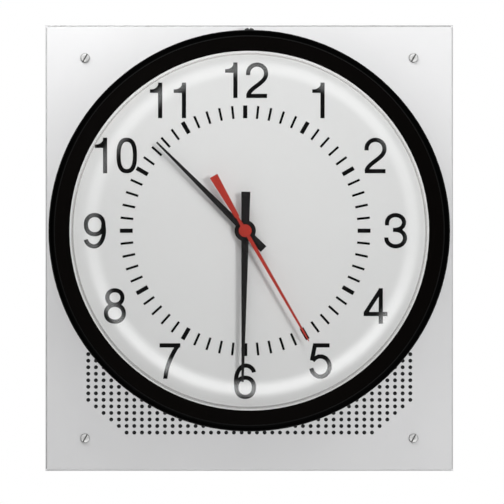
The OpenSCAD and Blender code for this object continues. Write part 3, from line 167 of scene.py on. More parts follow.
def make_camera():
    data = bpy.data.cameras.new("camera")
    data.sensor_width = SENSOR
    data.lens = SENSOR * CAMERA_FAR / (METRES_PER_PIXEL * FRAME_PIXELS)
    data.clip_start = CLIP_START
    data.clip_end = CLIP_END
    camera = bpy.data.objects.new("camera", data)
    camera.location = (CAMERA_X, -CAMERA_FAR, CAMERA_Z)
    camera.rotation_euler = (math.radians(90), 0, 0)
    bpy.context.scene.collection.objects.link(camera)
    bpy.context.scene.camera = camera


def link(obj):
    bpy.context.scene.collection.objects.link(obj)
    return obj


def on_clock_ray(clock_angle, polar, far):
    """Point seen from the dial's centre, clockwise from twelve and polar degrees off its axis."""
    turn, tilt = math.radians(clock_angle), math.radians(polar)
    return Vector((
        far * math.sin(tilt) * math.sin(turn),
        -far * math.cos(tilt),
        CLOCK_Z + far * math.sin(tilt) * math.cos(turn),
    ))


def softbox(name, clock_angle, polar, far, width, height, watts, shadows_of=None, lit=None):
    data = bpy.data.lights.new(name, "AREA")
    data.shape = "RECTANGLE"
    data.size = width
    data.size_y = height
    data.energy = watts
    lamp = link(bpy.data.objects.new(name, data))
    lamp.location = on_clock_ray(clock_angle, polar, far)
    aim = Vector((0, 0, CLOCK_Z)) - lamp.location
    lamp.rotation_euler = aim.to_track_quat("-Z", "Y").to_euler()
    lamp.visible_camera = False
    lamp.visible_glossy = False
    if shadows_of is not None:
        lamp.light_linking.blocker_collection = shadows_of
    if lit is not None:
        lamp.light_linking.receiver_collection = lit


class Surface:
    """Material built from nodes. Patterns are sized in metres on the piece itself."""

    def __init__(self, name, color, rough, metal=0.0, **fixed):
        self.material = bpy.data.materials.new(name)
        self.material.use_nodes = True
        self.tree = self.material.node_tree
        self.shader = self.tree.nodes["Principled BSDF"]
        self.place = self.add("ShaderNodeTexCoord").outputs["Object"]
        self.color = color
        self.rough = rough
        self.normal = None
        self.feed(self.shader, "Base Color", (*color, 1))
        self.feed(self.shader, "Roughness", rough)
        self.feed(self.shader, "Metallic", metal)
        for key, value in fixed.items():
            self.feed(self.shader, key.replace("_", " "), value)

    def feed(self, node, key, value):
        if isinstance(value, bpy.types.NodeSocket):
            self.tree.links.new(value, node.inputs[key])
        else:
            node.inputs[key].default_value = value

    def add(self, kind, settings=None, **inputs):
        node = self.tree.nodes.new(kind)
        for key, value in (settings or {}).items():
            setattr(node, key, value)
        for key, value in inputs.items():
            self.feed(node, key.replace("_", " "), value)
        return node

    def off_axis(self, across, location=(0, 0, 0)):
        """Distance from an axis, where across has ones for the two directions square to it."""
        flat = self.add("ShaderNodeMapping", Vector=self.place, Location=location, Scale=across)
        return self.add("ShaderNodeVectorMath", {"operation": "LENGTH"},
                        Vector=flat.outputs["Vector"]).outputs["Value"]

    def stretched(self, stretch):
        return self.add("ShaderNodeMapping", Vector=self.place, Scale=stretch).outputs["Vector"]

    def noise(self, per_metre, detail=3.0, stretch=(1, 1, 1)):
        return self.add("ShaderNodeTexNoise", Vector=self.stretched(stretch), Scale=per_metre,
                        Detail=detail).outputs["Fac"]

    def cells(self, per_metre, feature="F1", output="Distance", stretch=(1, 1, 1)):
        return self.add("ShaderNodeTexVoronoi", {"feature": feature},
                        Vector=self.stretched(stretch), Scale=per_metre).outputs[output]

    def bands(self, pitch, axis, wobble=0.0):
        """Stripes across one axis, pitch metres apart."""
        return self.add("ShaderNodeTexWave", {"bands_direction": axis}, Vector=self.place,
                        Scale=math.pi / 10 / pitch, Distortion=wobble).outputs["Fac"]

    def span(self, value, low, high, to_low=0.0, to_high=1.0):
        node = self.add("ShaderNodeMapRange", Value=value)
        for key, number in (("From Min", low), ("From Max", high), ("To Min", to_low),
                            ("To Max", to_high)):
            node.inputs[key].default_value = number
        return node.outputs["Result"]

    def math(self, operation, a, b=0.0):
        node = self.add("ShaderNodeMath", {"operation": operation})
        self.feed(node, 0, a)
        self.feed(node, 1, b)
        return node.outputs[0]

    def blend_color(self, a, b, share):
        node = self.add("ShaderNodeMix", {"data_type": "RGBA"})
        self.feed(node, "Factor", share)
        for socket, value in ((node.inputs[6], a), (node.inputs[7], b)):
            if isinstance(value, bpy.types.NodeSocket):
                self.tree.links.new(value, socket)
            else:
                socket.default_value = (*value, 1)
        return node.outputs[2]

    def mixed(self, share, a, b):
        """Shader between two others."""
        node = self.add("ShaderNodeMixShader")
        self.feed(node, 0, share)
        self.tree.links.new(a, node.inputs[1])
        self.tree.links.new(b, node.inputs[2])
        return node.outputs[0]

    def shades(self, share, swing):
        """Base colour that runs from darker to lighter with share."""
        dark = [max(0.0, c * (1 - swing)) for c in self.color]
        light = [min(1.0, c * (1 + swing)) for c in self.color]
        return self.blend_color(dark, light, share)

    def overlay(self, color, share):
        """Lay another colour over the base colour by share."""
        base = self.shader.inputs["Base Color"].links[0].from_socket
        self.feed(self.shader, "Base Color", self.blend_color(base, color, share))
        return self

    def mottle(self, per_metre, swing, stretch=(1, 1, 1)):
        patches = self.span(self.noise(per_metre, stretch=stretch), 0.3, 0.7)
        self.feed(self.shader, "Base Color", self.shades(patches, swing))
        return self

    def uneven_gloss(self, per_metre, swing):
        patches = self.noise(per_metre, 4.0)
        self.feed(self.shader, "Roughness",
                  self.span(patches, 0.25, 0.75, self.rough - swing, self.rough + swing))
        return self

    def bump(self, height, depth):
        node = self.add("ShaderNodeBump", Height=height, Distance=depth)
        if self.normal is not None:
            self.feed(node, "Normal", self.normal)
        self.normal = node.outputs["Normal"]
        self.feed(self.shader, "Normal", self.normal)
        return self

    def grain(self, per_metre, depth, stretch=(1, 1, 1)):
        return self.bump(self.noise(per_metre, 2.0, stretch), depth)

    def eased_edges(self, radius):
        node = self.add("ShaderNodeBevel", {"samples": 4}, Radius=radius)
        self.normal = node.outputs["Normal"]
        self.feed(self.shader, "Normal", self.normal)
        return self


def powder_coat(name, color, rough):
    surface = Surface(name, color, rough, Coat_Weight=0.15, Coat_Roughness=0.35)
    surface.eased_edges(0.0005)
    return surface.mottle(14, 0.012).uneven_gloss(60, 0.05).grain(700, 0.00003).grain(3500, 0.00001)


def plate_coat_with_fold_shade(name, color, rough):
    """Powder coat with painted shade, darker along the folds of the plate's top and sides."""
    surface = powder_coat(name, color, rough)
    place = surface.add("ShaderNodeSeparateXYZ", Vector=surface.place).outputs
    side = surface.span(surface.math("ABSOLUTE", place["X"]), PLATE_HALF_W - FOLD_BAND,
                        PLATE_HALF_W - SIDE_FOLD_END * FOLD_BAND)
    top = surface.span(place["Z"], PLATE_HALF_H - TOP_FOLD_START * FOLD_BAND,
                       PLATE_HALF_H - TOP_FOLD_END * FOLD_BAND)
    front = surface.span(place["Y"], PLATE_FRONT_Y + FRONT_SKIN_START,
                         PLATE_FRONT_Y + FRONT_SKIN_END, 1.0, 0.0)
    sides = surface.math("MULTIPLY", side, SIDE_FOLD_SHARE)
    # painted shade along the top and side folds, on the plate's front skin only
    fold_painted_shade = surface.math("MULTIPLY", front, surface.math("MAXIMUM", sides, top))
    return surface.overlay([c * FOLD_PAINTED_SHADE for c in color], fold_painted_shade)


def bezel_moulding(name):
    """Black moulding: satin face, a fine painted highlight line at the step and painted shade on the
    shoulder.
    """
    surface = moulded(name, (0.0020, 0.0016, 0.0014), 0.34, 0.0005, Specular_IOR_Level=0.012)
    radius = surface.off_axis((1, 0, 1), (0, 0, -CLOCK_Z))
    shoulder_shade = surface.span(radius, STEP_R, STEP_R + SHOULDER_SHADE_FADE)
    off_step_highlight = surface.math("ABSOLUTE", surface.math("SUBTRACT", radius, STEP_HIGHLIGHT_R))
    step_highlight = surface.span(off_step_highlight, STEP_HIGHLIGHT_CORE, STEP_HIGHLIGHT_REACH, 1.0, 0.0)
    # painted shade on the shoulder, then a painted highlight line along the step
    surface.overlay((0.0002, 0.0002, 0.0002), shoulder_shade)
    return surface.overlay((0.011, 0.011, 0.011), step_highlight)


def screw_plating(name):
    """Satin plating on the wall screws, with painted shade down in the slot and at the foot of the
    head.
    """
    surface = Surface(name, (0.64, 0.64, 0.635), 0.42, metal=0.45).eased_edges(0.0002)
    surface.mottle(120, 0.05).uneven_gloss(220, 0.08).grain(900, 0.00001)
    height = surface.add("ShaderNodeSeparateXYZ", Vector=surface.place).outputs["Y"]
    floor = PLATE_FRONT_Y - SLOT_FLOOR
    # painted shade in the slot and at the foot of the head
    return surface.overlay((0.16, 0.16, 0.155), surface.span(height, floor - SLOT_SHADE_FADE, floor))


def zinc(name, color, rough):
    surface = Surface(name, color, rough, metal=1.0).eased_edges(0.00025)
    return surface.mottle(90, 0.12).uneven_gloss(220, 0.1).grain(900, 0.00002)


def galvanised(name, color, rough):
    surface = Surface(name, color, rough, metal=1.0).eased_edges(0.0003)
    spangle = surface.cells(90, output="Color", stretch=(1, 0.6, 1.3))
    share = surface.add("ShaderNodeSeparateColor", Color=spangle).outputs["Red"]
    surface.feed(surface.shader, "Base Color", surface.shades(share, 0.16))
    surface.feed(surface.shader, "Roughness", surface.span(share, 0, 1, rough - 0.1, rough + 0.12))
    return surface.grain(500, 0.00002)


def moulded(name, color, rough, edge=0.0004, **fixed):
    surface = Surface(name, color, rough, **fixed).eased_edges(edge)
    return surface.mottle(30, 0.08).uneven_gloss(80, 0.06).grain(2200, 0.000012)


def woven(name, color, rough, pitch):
    """Plain weave of crossing threads in the XZ plane."""
    surface = Surface(name, color, rough, Sheen_Weight=0.15, Sheen_Roughness=0.5)
    warp = surface.bands(pitch, "X", 0.4)
    weft = surface.bands(pitch, "Z", 0.4)
    surface.feed(surface.shader, "Base Color",
                 surface.shades(surface.math("MULTIPLY", warp, weft), 0.5))
    return surface.bump(surface.math("MAXIMUM", warp, weft), 0.0002).grain(3000, 0.00005)


def circuit(name, color):
    """Solder mask over copper traces."""
    surface = Surface(name, color, 0.35, Coat_Weight=0.4, Coat_Roughness=0.15).eased_edges(0.0002)
    runs = surface.cells(140, "DISTANCE_TO_EDGE", stretch=(1, 0.2, 0.45))
    traces = surface.span(runs, 0.02, 0.06)
    pads = surface.span(surface.cells(260), 0.12, 0.2)
    lit = [c * 1.9 + 0.01 for c in color]
    copper = surface.math("MINIMUM", traces, pads)
    surface.feed(surface.shader, "Base Color", surface.blend_color(lit, color, copper))
    return surface.bump(copper, 0.00004).grain(1800, 0.00001)


def wound(name, color, pitch, axis):
    surface = Surface(name, color, 0.32, metal=0.85, Coat_Weight=0.4, Coat_Roughness=0.2)
    turns = surface.bands(pitch, axis)
    surface.feed(surface.shader, "Base Color", surface.shades(turns, 0.35))
    return surface.bump(turns, 0.00012)


def paper_pulp(name, color, rough):
    surface = Surface(name, color, rough, Sheen_Weight=0.1)
    fibres = surface.noise(900, 6.0, (1, 1, 3))
    surface.feed(surface.shader, "Base Color", surface.shades(fibres, 0.45))
    return surface.bump(fibres, 0.0002).grain(260, 0.0002)


def painted_hand(name, color, rough, **fixed):
    surface = Surface(name, color, rough, **fixed).eased_edges(0.00018)
    return surface.mottle(120, 0.1).uneven_gloss(200, 0.06).grain(2500, 0.00001)


def clear_moulding(name, line_tint=None, line_tint_share=0.0):
    """Clear thin wall: lamps and sight pass, and the surface mirrors more towards grazing."""
    surface = Surface(name, (0.96, 0.965, 0.965), 0.03, metal=1.0)
    surface.uneven_gloss(40, 0.01)
    facing = surface.add("ShaderNodeLayerWeight", Blend=0.5).outputs["Facing"]
    grazing = surface.math("POWER", facing, 5.0)
    mirror = surface.math("ADD", surface.math("MULTIPLY", grazing, 1 - WALL_GLOSS), WALL_GLOSS)
    through = surface.add("ShaderNodeBsdfTransparent", Color=(0.985, 0.987, 0.987, 1)).outputs[0]
    # an optional diffuse tint paints a line into the wall, as the painted highlight line by the lens
    # rim does
    if line_tint is not None:
        line_diffuse = surface.add("ShaderNodeBsdfDiffuse", Color=(*line_tint, 1)).outputs[0]
        through = surface.mixed(line_tint_share, through, line_diffuse)
    wall = surface.mixed(mirror, through, surface.shader.outputs[0])
    surface.tree.links.new(wall, surface.tree.nodes["Material Output"].inputs["Surface"])
    return surface


def make_materials():
    """Every CAD node with the material that it wears."""
    coat = plate_coat_with_fold_shade("powder_coat", (0.745, 0.745, 0.75), 0.42)
    plated = zinc("zinc_plate", (0.62, 0.62, 0.60), 0.34)
    sheet = galvanised("galvanised_sheet", (0.60, 0.61, 0.62), 0.38)
    dark = powder_coat("dark_coat", (0.16, 0.16, 0.165), 0.5)
    black_coat = powder_coat("black_coat", (0.03, 0.03, 0.03), 0.45)
    foam = Surface("foam", (0.035, 0.035, 0.035), 0.95)
    foam.mottle(700, 0.4).bump(foam.cells(900), 0.0004)
    rubber = Surface("rubber", (0.02, 0.02, 0.02), 0.65).mottle(150, 0.2).grain(1800, 0.00003)
    pulp = paper_pulp("paper_pulp", (0.028, 0.028, 0.03), 0.85)
    ferrite = Surface("ferrite", (0.055, 0.055, 0.06), 0.6).eased_edges(0.0006)
    ferrite.mottle(220, 0.35).grain(900, 0.00008)
    copper = wound("voice_winding", (0.62, 0.26, 0.12), 0.0005, "Y")
    coil = wound("motor_winding", (0.62, 0.26, 0.12), 0.0004, "X")
    tag = Surface("tag_board", (0.30, 0.17, 0.07), 0.6).eased_edges(0.0002)
    tag.mottle(300, 0.25, stretch=(1, 1, 6)).grain(1200, 0.00003)
    board = circuit("solder_mask", (0.012, 0.105, 0.04))
    shield = zinc("tinned_shield", (0.75, 0.75, 0.74), 0.22)
    chip = moulded("chip_epoxy", (0.018, 0.018, 0.02), 0.55, 0.0002)
    anodised = Surface("black_anodised", (0.035, 0.035, 0.037), 0.38, metal=0.7).eased_edges(0.0002)
    anodised.mottle(160, 0.15).grain(400, 0.00002, stretch=(6, 1, 1))
    sleeve = moulded("capacitor_sleeve", (0.012, 0.018, 0.06), 0.25, 0.0005)
    block = moulded("terminal_green", (0.015, 0.19, 0.06), 0.4, 0.0003)
    jacket = moulded("lead_jacket", (0.018, 0.018, 0.02), 0.5, 0.0002)
    moulding = bezel_moulding("black_moulding")
    case = moulded("case_moulding", (0.006, 0.006, 0.006), 0.4, 0.0005)
    screw = screw_plating("screw_plating")
    grey = moulded("ring_plastic", (0.82, 0.82, 0.80), 0.5)
    white = Surface("dial_paint", (0.80, 0.80, 0.795), 0.55)
    white.mottle(9, 0.01).uneven_gloss(70, 0.04).grain(2600, 0.000006)
    ink = Surface("printed_ink", (0.002, 0.0019, 0.0019), 0.5, Specular_IOR_Level=0.03)
    ink.mottle(260, 0.15).uneven_gloss(300, 0.08).grain(2400, 0.00001)
    acetal = moulded("movement_acetal", (0.74, 0.74, 0.71), 0.4)
    brass = zinc("turned_brass", (0.78, 0.58, 0.24), 0.28)
    iron = zinc("stator_iron", (0.40, 0.40, 0.42), 0.4)
    black_hand = painted_hand("black_hand_paint", (0.008, 0.0074, 0.0076), 0.4,
                              Specular_IOR_Level=0.22)
    red_hand = painted_hand("red_hand_paint", (0.43, 0.034, 0.022), 0.38)
    wheel = moulded("wheel_acetal", (0.82, 0.79, 0.70), 0.42, 0.0001)
    magnet = Surface("rotor_magnet", (0.10, 0.10, 0.11), 0.45, metal=0.6).mottle(500, 0.2)
    magnet.grain(1500, 0.00002)
    return {
        "faceplate": coat, "plate_studs": plated, "mounting_screws": screw, "stud_nuts": plated,
        "speaker_baffle": dark, "speaker_gasket": foam, "speaker_frame": black_coat,
        "speaker_top_plate": plated,
        "speaker_magnet": ferrite, "speaker_yoke": plated, "speaker_terminals": tag,
        "speaker_cone": pulp, "speaker_dust_cap": pulp, "voice_coil": copper,
        "module_tray": sheet, "module_cover": sheet, "network_circuit_board": board,
        "network_jack": shield, "board_chips": chip, "amplifier_heat_sink": anodised,
        "capacitors": sleeve, "terminal_blocks": block, "module_screws": plated,
        "speaker_lead": jacket, "clock_lead": jacket, "lead_grommet": rubber,
        "mounting_strap": plated, "lock_screw": black_coat, "case_back": case,
        "bezel": moulding, "dial_ring": grey, "dial": white,
        "dial_numerals": ink, "minute_marks": ink, "movement_front_shell": acetal,
        "movement_back_shell": acetal, "movement_screws": plated, "movement_gasket": rubber,
        "movement_nut": brass, "stators": iron, "motor_coils": coil,
        "movement_circuit_board": board, "movement_socket": acetal, "hour_hand": black_hand,
        "hour_wheel": wheel, "motion_wheel": wheel, "minute_hand": black_hand,
        "minute_wheel": brass, "minute_intermediate": wheel, "minute_rotor": magnet,
        "second_hand": red_hand, "second_wheel": brass, "second_intermediate": wheel,
        "second_rotor": magnet,
    }


def dress_nodes(wardrobe):
    for name, surface in wardrobe.items():
        materials = nodes[name].data.materials
        materials.clear()
        materials.append(surface.material)


# Ring of soft light that gloss mirrors: its axis, its angle off that axis, how far off it stays
# full and where it ends, and its levels
RING_TURN = 52
RING_TILT = 8.5
RING_ANGLE = 42
RING_CORE = 3
RING_HALF = 24
RING_SIDE_LEVEL = 1.3
RING_TOP_LEVEL = 1.8
RING_LOW_LEVEL = 3.6
LOW_LEVEL_TO = -0.6
SIDE_LEVEL_FROM = 0.05
SIDE_LEVEL_TO = 0.1
TOP_LEVEL_FROM = 0.6

# World: its dim front in gloss, where it turns white towards the rear, and its soft level on paint
FRONT_GLOSS = 0.05
FRONT_TO = -0.30
REAR_FROM = 0.25
WORLD_LEVEL = 0.18


def make_world():
    """White to the camera and behind the object, and in gloss a dim front with one ring of light."""
    world = bpy.data.worlds.new("studio")
    bpy.context.scene.world = world
    world.use_nodes = True
    tree = world.node_tree
    tree.nodes.clear()

    def feed(socket, value):
        if isinstance(value, bpy.types.NodeSocket):
            tree.links.new(value, socket)
        else:
            socket.default_value = value

    def math_node(operation, a, b=0.0):
        node = tree.nodes.new("ShaderNodeMath")
        node.operation = operation
        feed(node.inputs[0], a)
        feed(node.inputs[1], b)
        return node.outputs[0]

    def span(value, low, high, to_low=0.0, to_high=1.0):
        node = tree.nodes.new("ShaderNodeMapRange")
        node.interpolation_type = "SMOOTHSTEP"
        for key, number in (("Value", value), ("From Min", low), ("From Max", high),
                            ("To Min", to_low), ("To Max", to_high)):
            feed(node.inputs[key], number)
        return node.outputs["Result"]

    direction = tree.nodes.new("ShaderNodeTexCoord").outputs["Generated"]
    parts = tree.nodes.new("ShaderNodeSeparateXYZ")
    feed(parts.inputs[0], direction)
    behind = span(parts.outputs["Y"], FRONT_TO, REAR_FROM, FRONT_GLOSS, 1.0)
    dot = tree.nodes.new("ShaderNodeVectorMath")
    dot.operation = "DOT_PRODUCT"
    feed(dot.inputs[0], direction)
    feed(dot.inputs[1], on_clock_ray(RING_TURN, RING_TILT, 1.0) - Vector((0, 0, CLOCK_Z)))
    off_axis = math_node("ARCCOSINE", dot.outputs["Value"])
    off_ring = math_node("ABSOLUTE", math_node("SUBTRACT", off_axis, math.radians(RING_ANGLE)))
    ring = span(off_ring, math.radians(RING_CORE), math.radians(RING_HALF), 1.0, 0.0)
    lower = span(parts.outputs["Z"], LOW_LEVEL_TO, SIDE_LEVEL_FROM,
                 RING_LOW_LEVEL, RING_SIDE_LEVEL)
    upper = span(parts.outputs["Z"], SIDE_LEVEL_TO, TOP_LEVEL_FROM, 0.0,
                 RING_TOP_LEVEL - RING_SIDE_LEVEL)
    level = math_node("ADD", lower, upper)
    in_gloss = math_node("ADD", behind, math_node("MULTIPLY", ring, level))
    path = tree.nodes.new("ShaderNodeLightPath")
    seen = math_node("MAXIMUM", path.outputs["Is Camera Ray"], path.outputs["Is Transmission Ray"])
    gloss = math_node("MULTIPLY", path.outputs["Is Glossy Ray"], in_gloss)
    ambient = math_node("MULTIPLY", path.outputs["Is Diffuse Ray"], WORLD_LEVEL)
    background = tree.nodes.new("ShaderNodeBackground")
    background.inputs["Color"].default_value = (1, 1, 1, 1)
    feed(background.inputs["Strength"],
         math_node("MAXIMUM", seen, math_node("MAXIMUM", gloss, ambient)))
    output = tree.nodes.new("ShaderNodeOutputWorld")
    tree.links.new(background.outputs[0], output.inputs["Surface"])


FLOOR_RADIUS = 1.1
FLOOR_SIDES = 96
FLOOR_FADE_FROM = 0.35 * FLOOR_RADIUS
FLOOR_FADE_TO = 0.95 * FLOOR_RADIUS
FLOOR_LIFT = 0.45


def make_floor():
    """Pale disc under the object that fades into the white world at its rim."""
    rim = [(FLOOR_RADIUS * math.cos(2 * math.pi * i / FLOOR_SIDES),
            FLOOR_RADIUS * math.sin(2 * math.pi * i / FLOOR_SIDES), FLOOR_Z)
           for i in range(FLOOR_SIDES)]
    mesh = bpy.data.meshes.new("floor")
    mesh.from_pydata(rim, [], [list(range(FLOOR_SIDES))])
    floor = link(bpy.data.objects.new("floor", mesh))
    surface = Surface("floor_paint", (0.82, 0.82, 0.82), 0.9)
    surface.mottle(3, 0.01)
    path = surface.add("ShaderNodeLightPath")
    fade = surface.span(surface.off_axis((1, 1, 0)), FLOOR_FADE_FROM, FLOOR_FADE_TO)
    seen = surface.math("MAXIMUM", path.outputs["Is Camera Ray"],
                        surface.math("MAXIMUM", path.outputs["Is Glossy Ray"],
                                     path.outputs["Is Transmission Ray"]))
    glow = surface.add("ShaderNodeEmission", Color=(1, 1, 1, 1), Strength=1.0)
    lift = surface.add("ShaderNodeEmission", Color=(1, 1, 1, 1),
                       Strength=surface.math("MULTIPLY", seen, FLOOR_LIFT))
    lit = surface.add("ShaderNodeAddShader")
    surface.tree.links.new(surface.shader.outputs[0], lit.inputs[0])
    surface.tree.links.new(lift.outputs[0], lit.inputs[1])
    faded = surface.mixed(surface.math("MULTIPLY", fade, seen), lit.outputs[0], glow.outputs[0])
    past = surface.add("ShaderNodeBsdfTransparent")
    shown = surface.mixed(path.outputs["Is Glossy Ray"], faded, past.outputs[0])
    surface.tree.links.new(shown, surface.tree.nodes["Material Output"].inputs["Surface"])
    mesh.materials.append(surface.material)


def group_of(name, members):
    group = bpy.data.collections.new(name)
    for member in members:
        group.objects.link(nodes[member])
    return group


def make_lights():
    """Soft lamps. The front ones, but for the plate's top one, cast only small pieces' shadows."""
    proud = group_of("proud_pieces", ("hour_hand", "minute_hand", "second_hand", "mounting_screws",
                                      "lock_screw"))
    plate = group_of("plate_pieces", ("faceplate", "mounting_screws"))
    softbox("plate_top_light", clock_angle=-20, polar=62, far=0.5, width=0.6, height=0.2,
            watts=0.56, lit=plate)
    softbox("plate_side_light", clock_angle=56, polar=64, far=0.56, width=0.5, height=0.2,
            watts=0.36, shadows_of=proud, lit=plate)
    softbox("key_light", clock_angle=74, polar=28, far=1.4, width=0.26, height=0.26,
            watts=7.2, shadows_of=proud)
    softbox("top_light", clock_angle=-20, polar=60, far=0.64, width=0.6, height=0.2,
            watts=2.6, shadows_of=proud)
    softbox("back_light", clock_angle=20, polar=140, far=1.6, width=1.2, height=0.8, watts=7.0)
    softbox("back_fill", clock_angle=215, polar=130, far=1.7, width=1.0, height=0.8, watts=4.0)


def mesh_piece(name, points, faces, surface, smooth=True):
    """Mesh object from points in the frame's axes."""
    mesh = bpy.data.meshes.new(name)
    mesh.from_pydata(points, [], faces)
    mesh.validate()
    mesh.materials.append(surface.material)
    for polygon in mesh.polygons:
        polygon.use_smooth = smooth
    return link(bpy.data.objects.new(name, mesh))


def lathe(name, profile, surface, sides):
    """Closed solid turned about the clock's axis from (radius, y) points, first and last on it."""
    points = [(0, profile[0][1], CLOCK_Z)]
    for radius, y in profile[1:-1]:
        points += [(radius * math.sin(2 * math.pi * i / sides), y,
                    CLOCK_Z + radius * math.cos(2 * math.pi * i / sides)) for i in range(sides)]
    points.append((0, profile[-1][1], CLOCK_Z))
    last = len(points) - 1
    rings = len(profile) - 2
    faces = []
    for i in range(sides):
        j = (i + 1) % sides
        faces.append((0, 1 + i, 1 + j))
        faces.append((last, 1 + (rings - 1) * sides + j, 1 + (rings - 1) * sides + i))
        for k in range(rings - 1):
            low, high = 1 + k * sides, 1 + (k + 1) * sides
            faces.append((low + i, high + i, high + j, low + j))
    return mesh_piece(name, points, faces, surface)


def dome_arc(radius):
    """Points of the lens arc from the flat front to the flange."""
    reach = math.asin((LENS_EDGE_R - LENS_FLAT_R) / LENS_ARC_R)
    middle_y = LENS_FRONT_Y + LENS_ARC_R
    turns = [reach * i / LENS_ARC_STEPS for i in range(LENS_ARC_STEPS + 1)]
    return [(LENS_FLAT_R + radius * math.sin(a), middle_y - radius * math.cos(a)) for a in turns]


def make_lens():
    """Clear lens as one smooth turned shell, with a dark line and a painted highlight line by the
    rim.
    """
    inner = [p for p in dome_arc(LENS_ARC_R - LENS_WALL) if p[1] < LENS_SEAT_Y - INNER_CLEAR]
    front_flat = [(LENS_FLAT_R * i / LENS_FLAT_STEPS, LENS_FRONT_Y) for i in range(LENS_FLAT_STEPS)]
    back_flat = [(r, y + LENS_WALL) for r, y in reversed(front_flat)]
    rim = [
        (LENS_EDGE_R + FLANGE_ROOT, LENS_FLANGE_Y),
        (LENS_FLANGE_R - FLANGE_EASE, LENS_FLANGE_Y),
        (LENS_FLANGE_R, LENS_FLANGE_Y + FLANGE_EASE),
        (LENS_FLANGE_R, LENS_SEAT_Y - FLANGE_EASE),
        (LENS_FLANGE_R - FLANGE_EASE, LENS_SEAT_Y),
        (LENS_EDGE_R - FLANGE_UNDERCUT, LENS_SEAT_Y),
    ]
    profile = front_flat + dome_arc(LENS_ARC_R) + rim + list(reversed(inner)) + back_flat
    lens = lathe("lens_shell", profile, clear_moulding("clear_lens"), LENS_SIDES)
    lens.data.materials.append(
        clear_moulding("lens_shade_line", (0.30, 0.27, 0.25), 0.45).material)
    # the pale line is a painted highlight round the lens rim
    lens.data.materials.append(
        clear_moulding("lens_highlight_line", (0.86, 0.86, 0.86), 0.55).material)
    for polygon in lens.data.polygons:
        centre = polygon.center
        radius = math.hypot(centre.x, centre.z - CLOCK_Z)
        if centre.y < LENS_FLANGE_Y - FLANGE_ROOT and radius > SHADE_LINE_R:
            polygon.material_index = 2 if radius > HIGHLIGHT_LINE_R else 1
    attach(lens, ROOT)
    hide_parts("lens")


def cloth_sag(x, z):
    """How far the cloth gives way to the rear, in soft ripples over the loudspeaker's opening."""
    reach = math.hypot(x, z - FIELD_Z) / SPEAKER_OPEN_R
    if reach >= 1:
        return 0.0
    turn = math.atan2(z - FIELD_Z, x)
    fine = math.sin(FINE_RIPPLES * turn + FINE_TWIST * reach)
    broad = math.sin(BROAD_RIPPLES * turn + BROAD_START)
    ripple = 0.5 + 0.25 * fine + 0.25 * broad
    return CLOTH_SAG * (1 - reach * reach) ** 2 * (SAG_PLAIN + SAG_RIPPLED * reach * ripple)


def off_notch(x, z):
    """Point of the cloth, pushed out to the edge of the notch where it lies in one."""
    centre = math.copysign(NOTCH_X, x)
    away = math.hypot(x - centre, z - NOTCH_Z)
    if away >= NOTCH_R or away == 0:
        return x, z
    grow = NOTCH_R / away
    return centre + grow * (x - centre), NOTCH_Z + grow * (z - NOTCH_Z)


def in_notch(x, z):
    return math.hypot(abs(x) - NOTCH_X, z - NOTCH_Z) < NOTCH_R


def cloth_grid():
    """Points and cells of the cloth's front side."""
    across = [CLOTH_W * (i / CLOTH_COLUMNS - 0.5) for i in range(CLOTH_COLUMNS + 1)]
    up = [FIELD_Z + CLOTH_H * (j / CLOTH_ROWS - 0.5) for j in range(CLOTH_ROWS + 1)]
    places = {}
    cells = []
    for i in range(CLOTH_COLUMNS):
        for j in range(CLOTH_ROWS):
            corners = [(i, j), (i + 1, j), (i + 1, j + 1), (i, j + 1)]
            if all(in_notch(across[a], up[b]) for a, b in corners):
                continue
            cells.append([places.setdefault(corner, len(places)) for corner in corners])
    points = []
    for a, b in places:
        x, z = off_notch(across[a], up[b])
        points.append((x, CLOTH_FRONT_Y + cloth_sag(x, z), z))
    return points, cells


def thickened(points, cells, depth):
    """A sheet's front side with a back side behind it and walls along its edge."""
    count = len(points)
    both = points + [(x, y + depth, z) for x, y, z in points]
    faces = cells + [[count + k for k in reversed(cell)] for cell in cells]
    sides = {(cell[k], cell[(k + 1) % 4]) for cell in cells for k in range(4)}
    faces += [[b, a, count + a, count + b] for a, b in sorted(sides) if (b, a) not in sides]
    return both, faces


def make_frayed_edge(surface):
    """Short loose threads along the cloth's cut edges, flat between the plate and the baffle."""
    chance = random.Random(THREAD_SEED)
    points = []
    faces = []
    half_w, half_h = CLOTH_W / 2, CLOTH_H / 2
    for side, along, across in ((-1, "z", half_h), (1, "z", half_h), (1, "x", half_w)):
        edge = half_w if along == "z" else half_h
        place = -across + THREAD_MARGIN
        while place < across - THREAD_MARGIN:
            reach = chance.uniform(*THREAD_REACH)
            lean = chance.uniform(-THREAD_LEAN, THREAD_LEAN)
            first = len(points)
            for depth in THREAD_DEPTHS:
                for out, shift in ((-THREAD_ROOT, 0), (reach, lean)):
                    for width in (-THREAD_HALF_W, THREAD_HALF_W):
                        u = side * (edge + out)
                        v = place + shift + width
                        x, z = (u, v) if along == "z" else (v, u)
                        points.append((x, CLOTH_FRONT_Y + depth, FIELD_Z + z))
            faces += [[first + k for k in face] for face in BOX_FACES]
            place += chance.uniform(*THREAD_GAP)
    threads = mesh_piece("cloth_threads", points, faces, surface, smooth=False)
    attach(threads, ROOT)
    return threads


def make_cloth():
    """Black cloth stretched behind the perforations."""
    surface = woven("backing_cloth", (0.01, 0.01, 0.011), 0.9, 0.0009)
    points, cells = cloth_grid()
    cloth = mesh_piece("backing_cloth", *thickened(points, cells, CLOTH_T), surface)
    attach(cloth, ROOT)
    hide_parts("grille_cloth")
    threads = make_frayed_edge(surface)


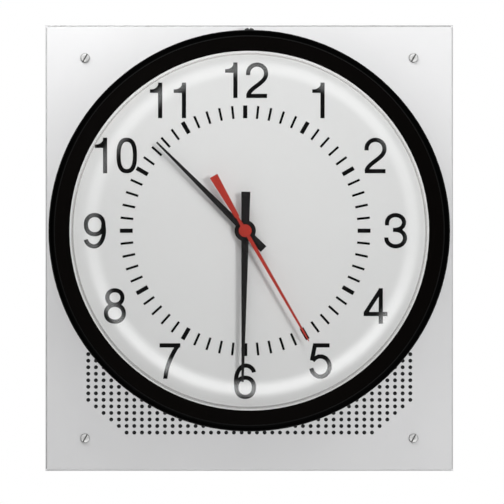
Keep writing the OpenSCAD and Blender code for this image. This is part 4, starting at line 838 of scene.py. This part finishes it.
def waves(rim_in, wave_in, wave_out, rim_out, swing, count):
    """Section of a pressed ring as (radius, height): flat rims with waves between them."""
    steps = WAVE_STEPS * count
    section = [(rim_in, 0.0)]
    for i in range(steps + 1):
        height = swing * (1 - math.cos(2 * math.pi * count * i / steps)) / 2
        section.append((wave_in + (wave_out - wave_in) * i / steps, height))
    return section + [(rim_out, 0.0)]


def ring_sector(name, section, low, thick, lift, turn, surface):
    """One sector of a pressed ring on the loudspeaker's axis, open towards its neighbours."""
    outer = section[-1][0]
    raised = [(r, low + h + lift * (outer - r)) for r, h in section]
    outline = raised + [(r, h + thick) for r, h in reversed(raised)]
    points = []
    for i in range(SECTOR_STEPS + 1):
        a = turn + (i / SECTOR_STEPS - 0.5) * 2 * math.pi / SECTORS
        points += [(r * math.sin(a), -h, FIELD_Z + r * math.cos(a)) for r, h in outline]
    count = len(outline)
    faces = [(i * count + k, i * count + (k + 1) % count, (i + 1) * count + (k + 1) % count,
              (i + 1) * count + k) for i in range(SECTOR_STEPS) for k in range(count)]
    sector = mesh_piece(name, points, faces, surface)
    sector.data.set_sharp_from_angle(angle=math.radians(CREASE_ANGLE))
    return sector


def make_bending_ring(node, section, low, thick, lift, surface):
    """Ring between the cone and the basket, in sectors."""
    for k in range(SECTORS):
        turn = 2 * math.pi * k / SECTORS
        sector = ring_sector(f"{node}_{k + 1:02d}", section, low, thick, lift, turn, surface)
        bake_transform(sector)
        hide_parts(node)


def make_suspension():
    """The cone's rubber surround and its cloth spider."""
    rubber = Surface("surround_rubber", (0.02, 0.02, 0.02), 0.6).mottle(150, 0.2)
    make_bending_ring("speaker_surround",
                      waves(*SURROUND_RADII, SURROUND_SWING, SURROUND_WAVES), LANDING,
                      SURROUND_WALL, 0.0, rubber.grain(1800, 0.00003))
    make_bending_ring("speaker_spider",
                      waves(*SPIDER_RADII, SPIDER_SWING, SPIDER_WAVES), BASKET_FLOOR,
                      SPIDER_WALL, SPIDER_LIFT,
                      woven("spider_cloth", (0.50, 0.30, 0.09), 0.75, 0.0009))


make_camera()
make_world()
make_floor()
make_lights()
dress_nodes(make_materials())
make_lens()
make_cloth()
make_suspension()

bpy.context.scene.view_settings.view_transform = "Standard"
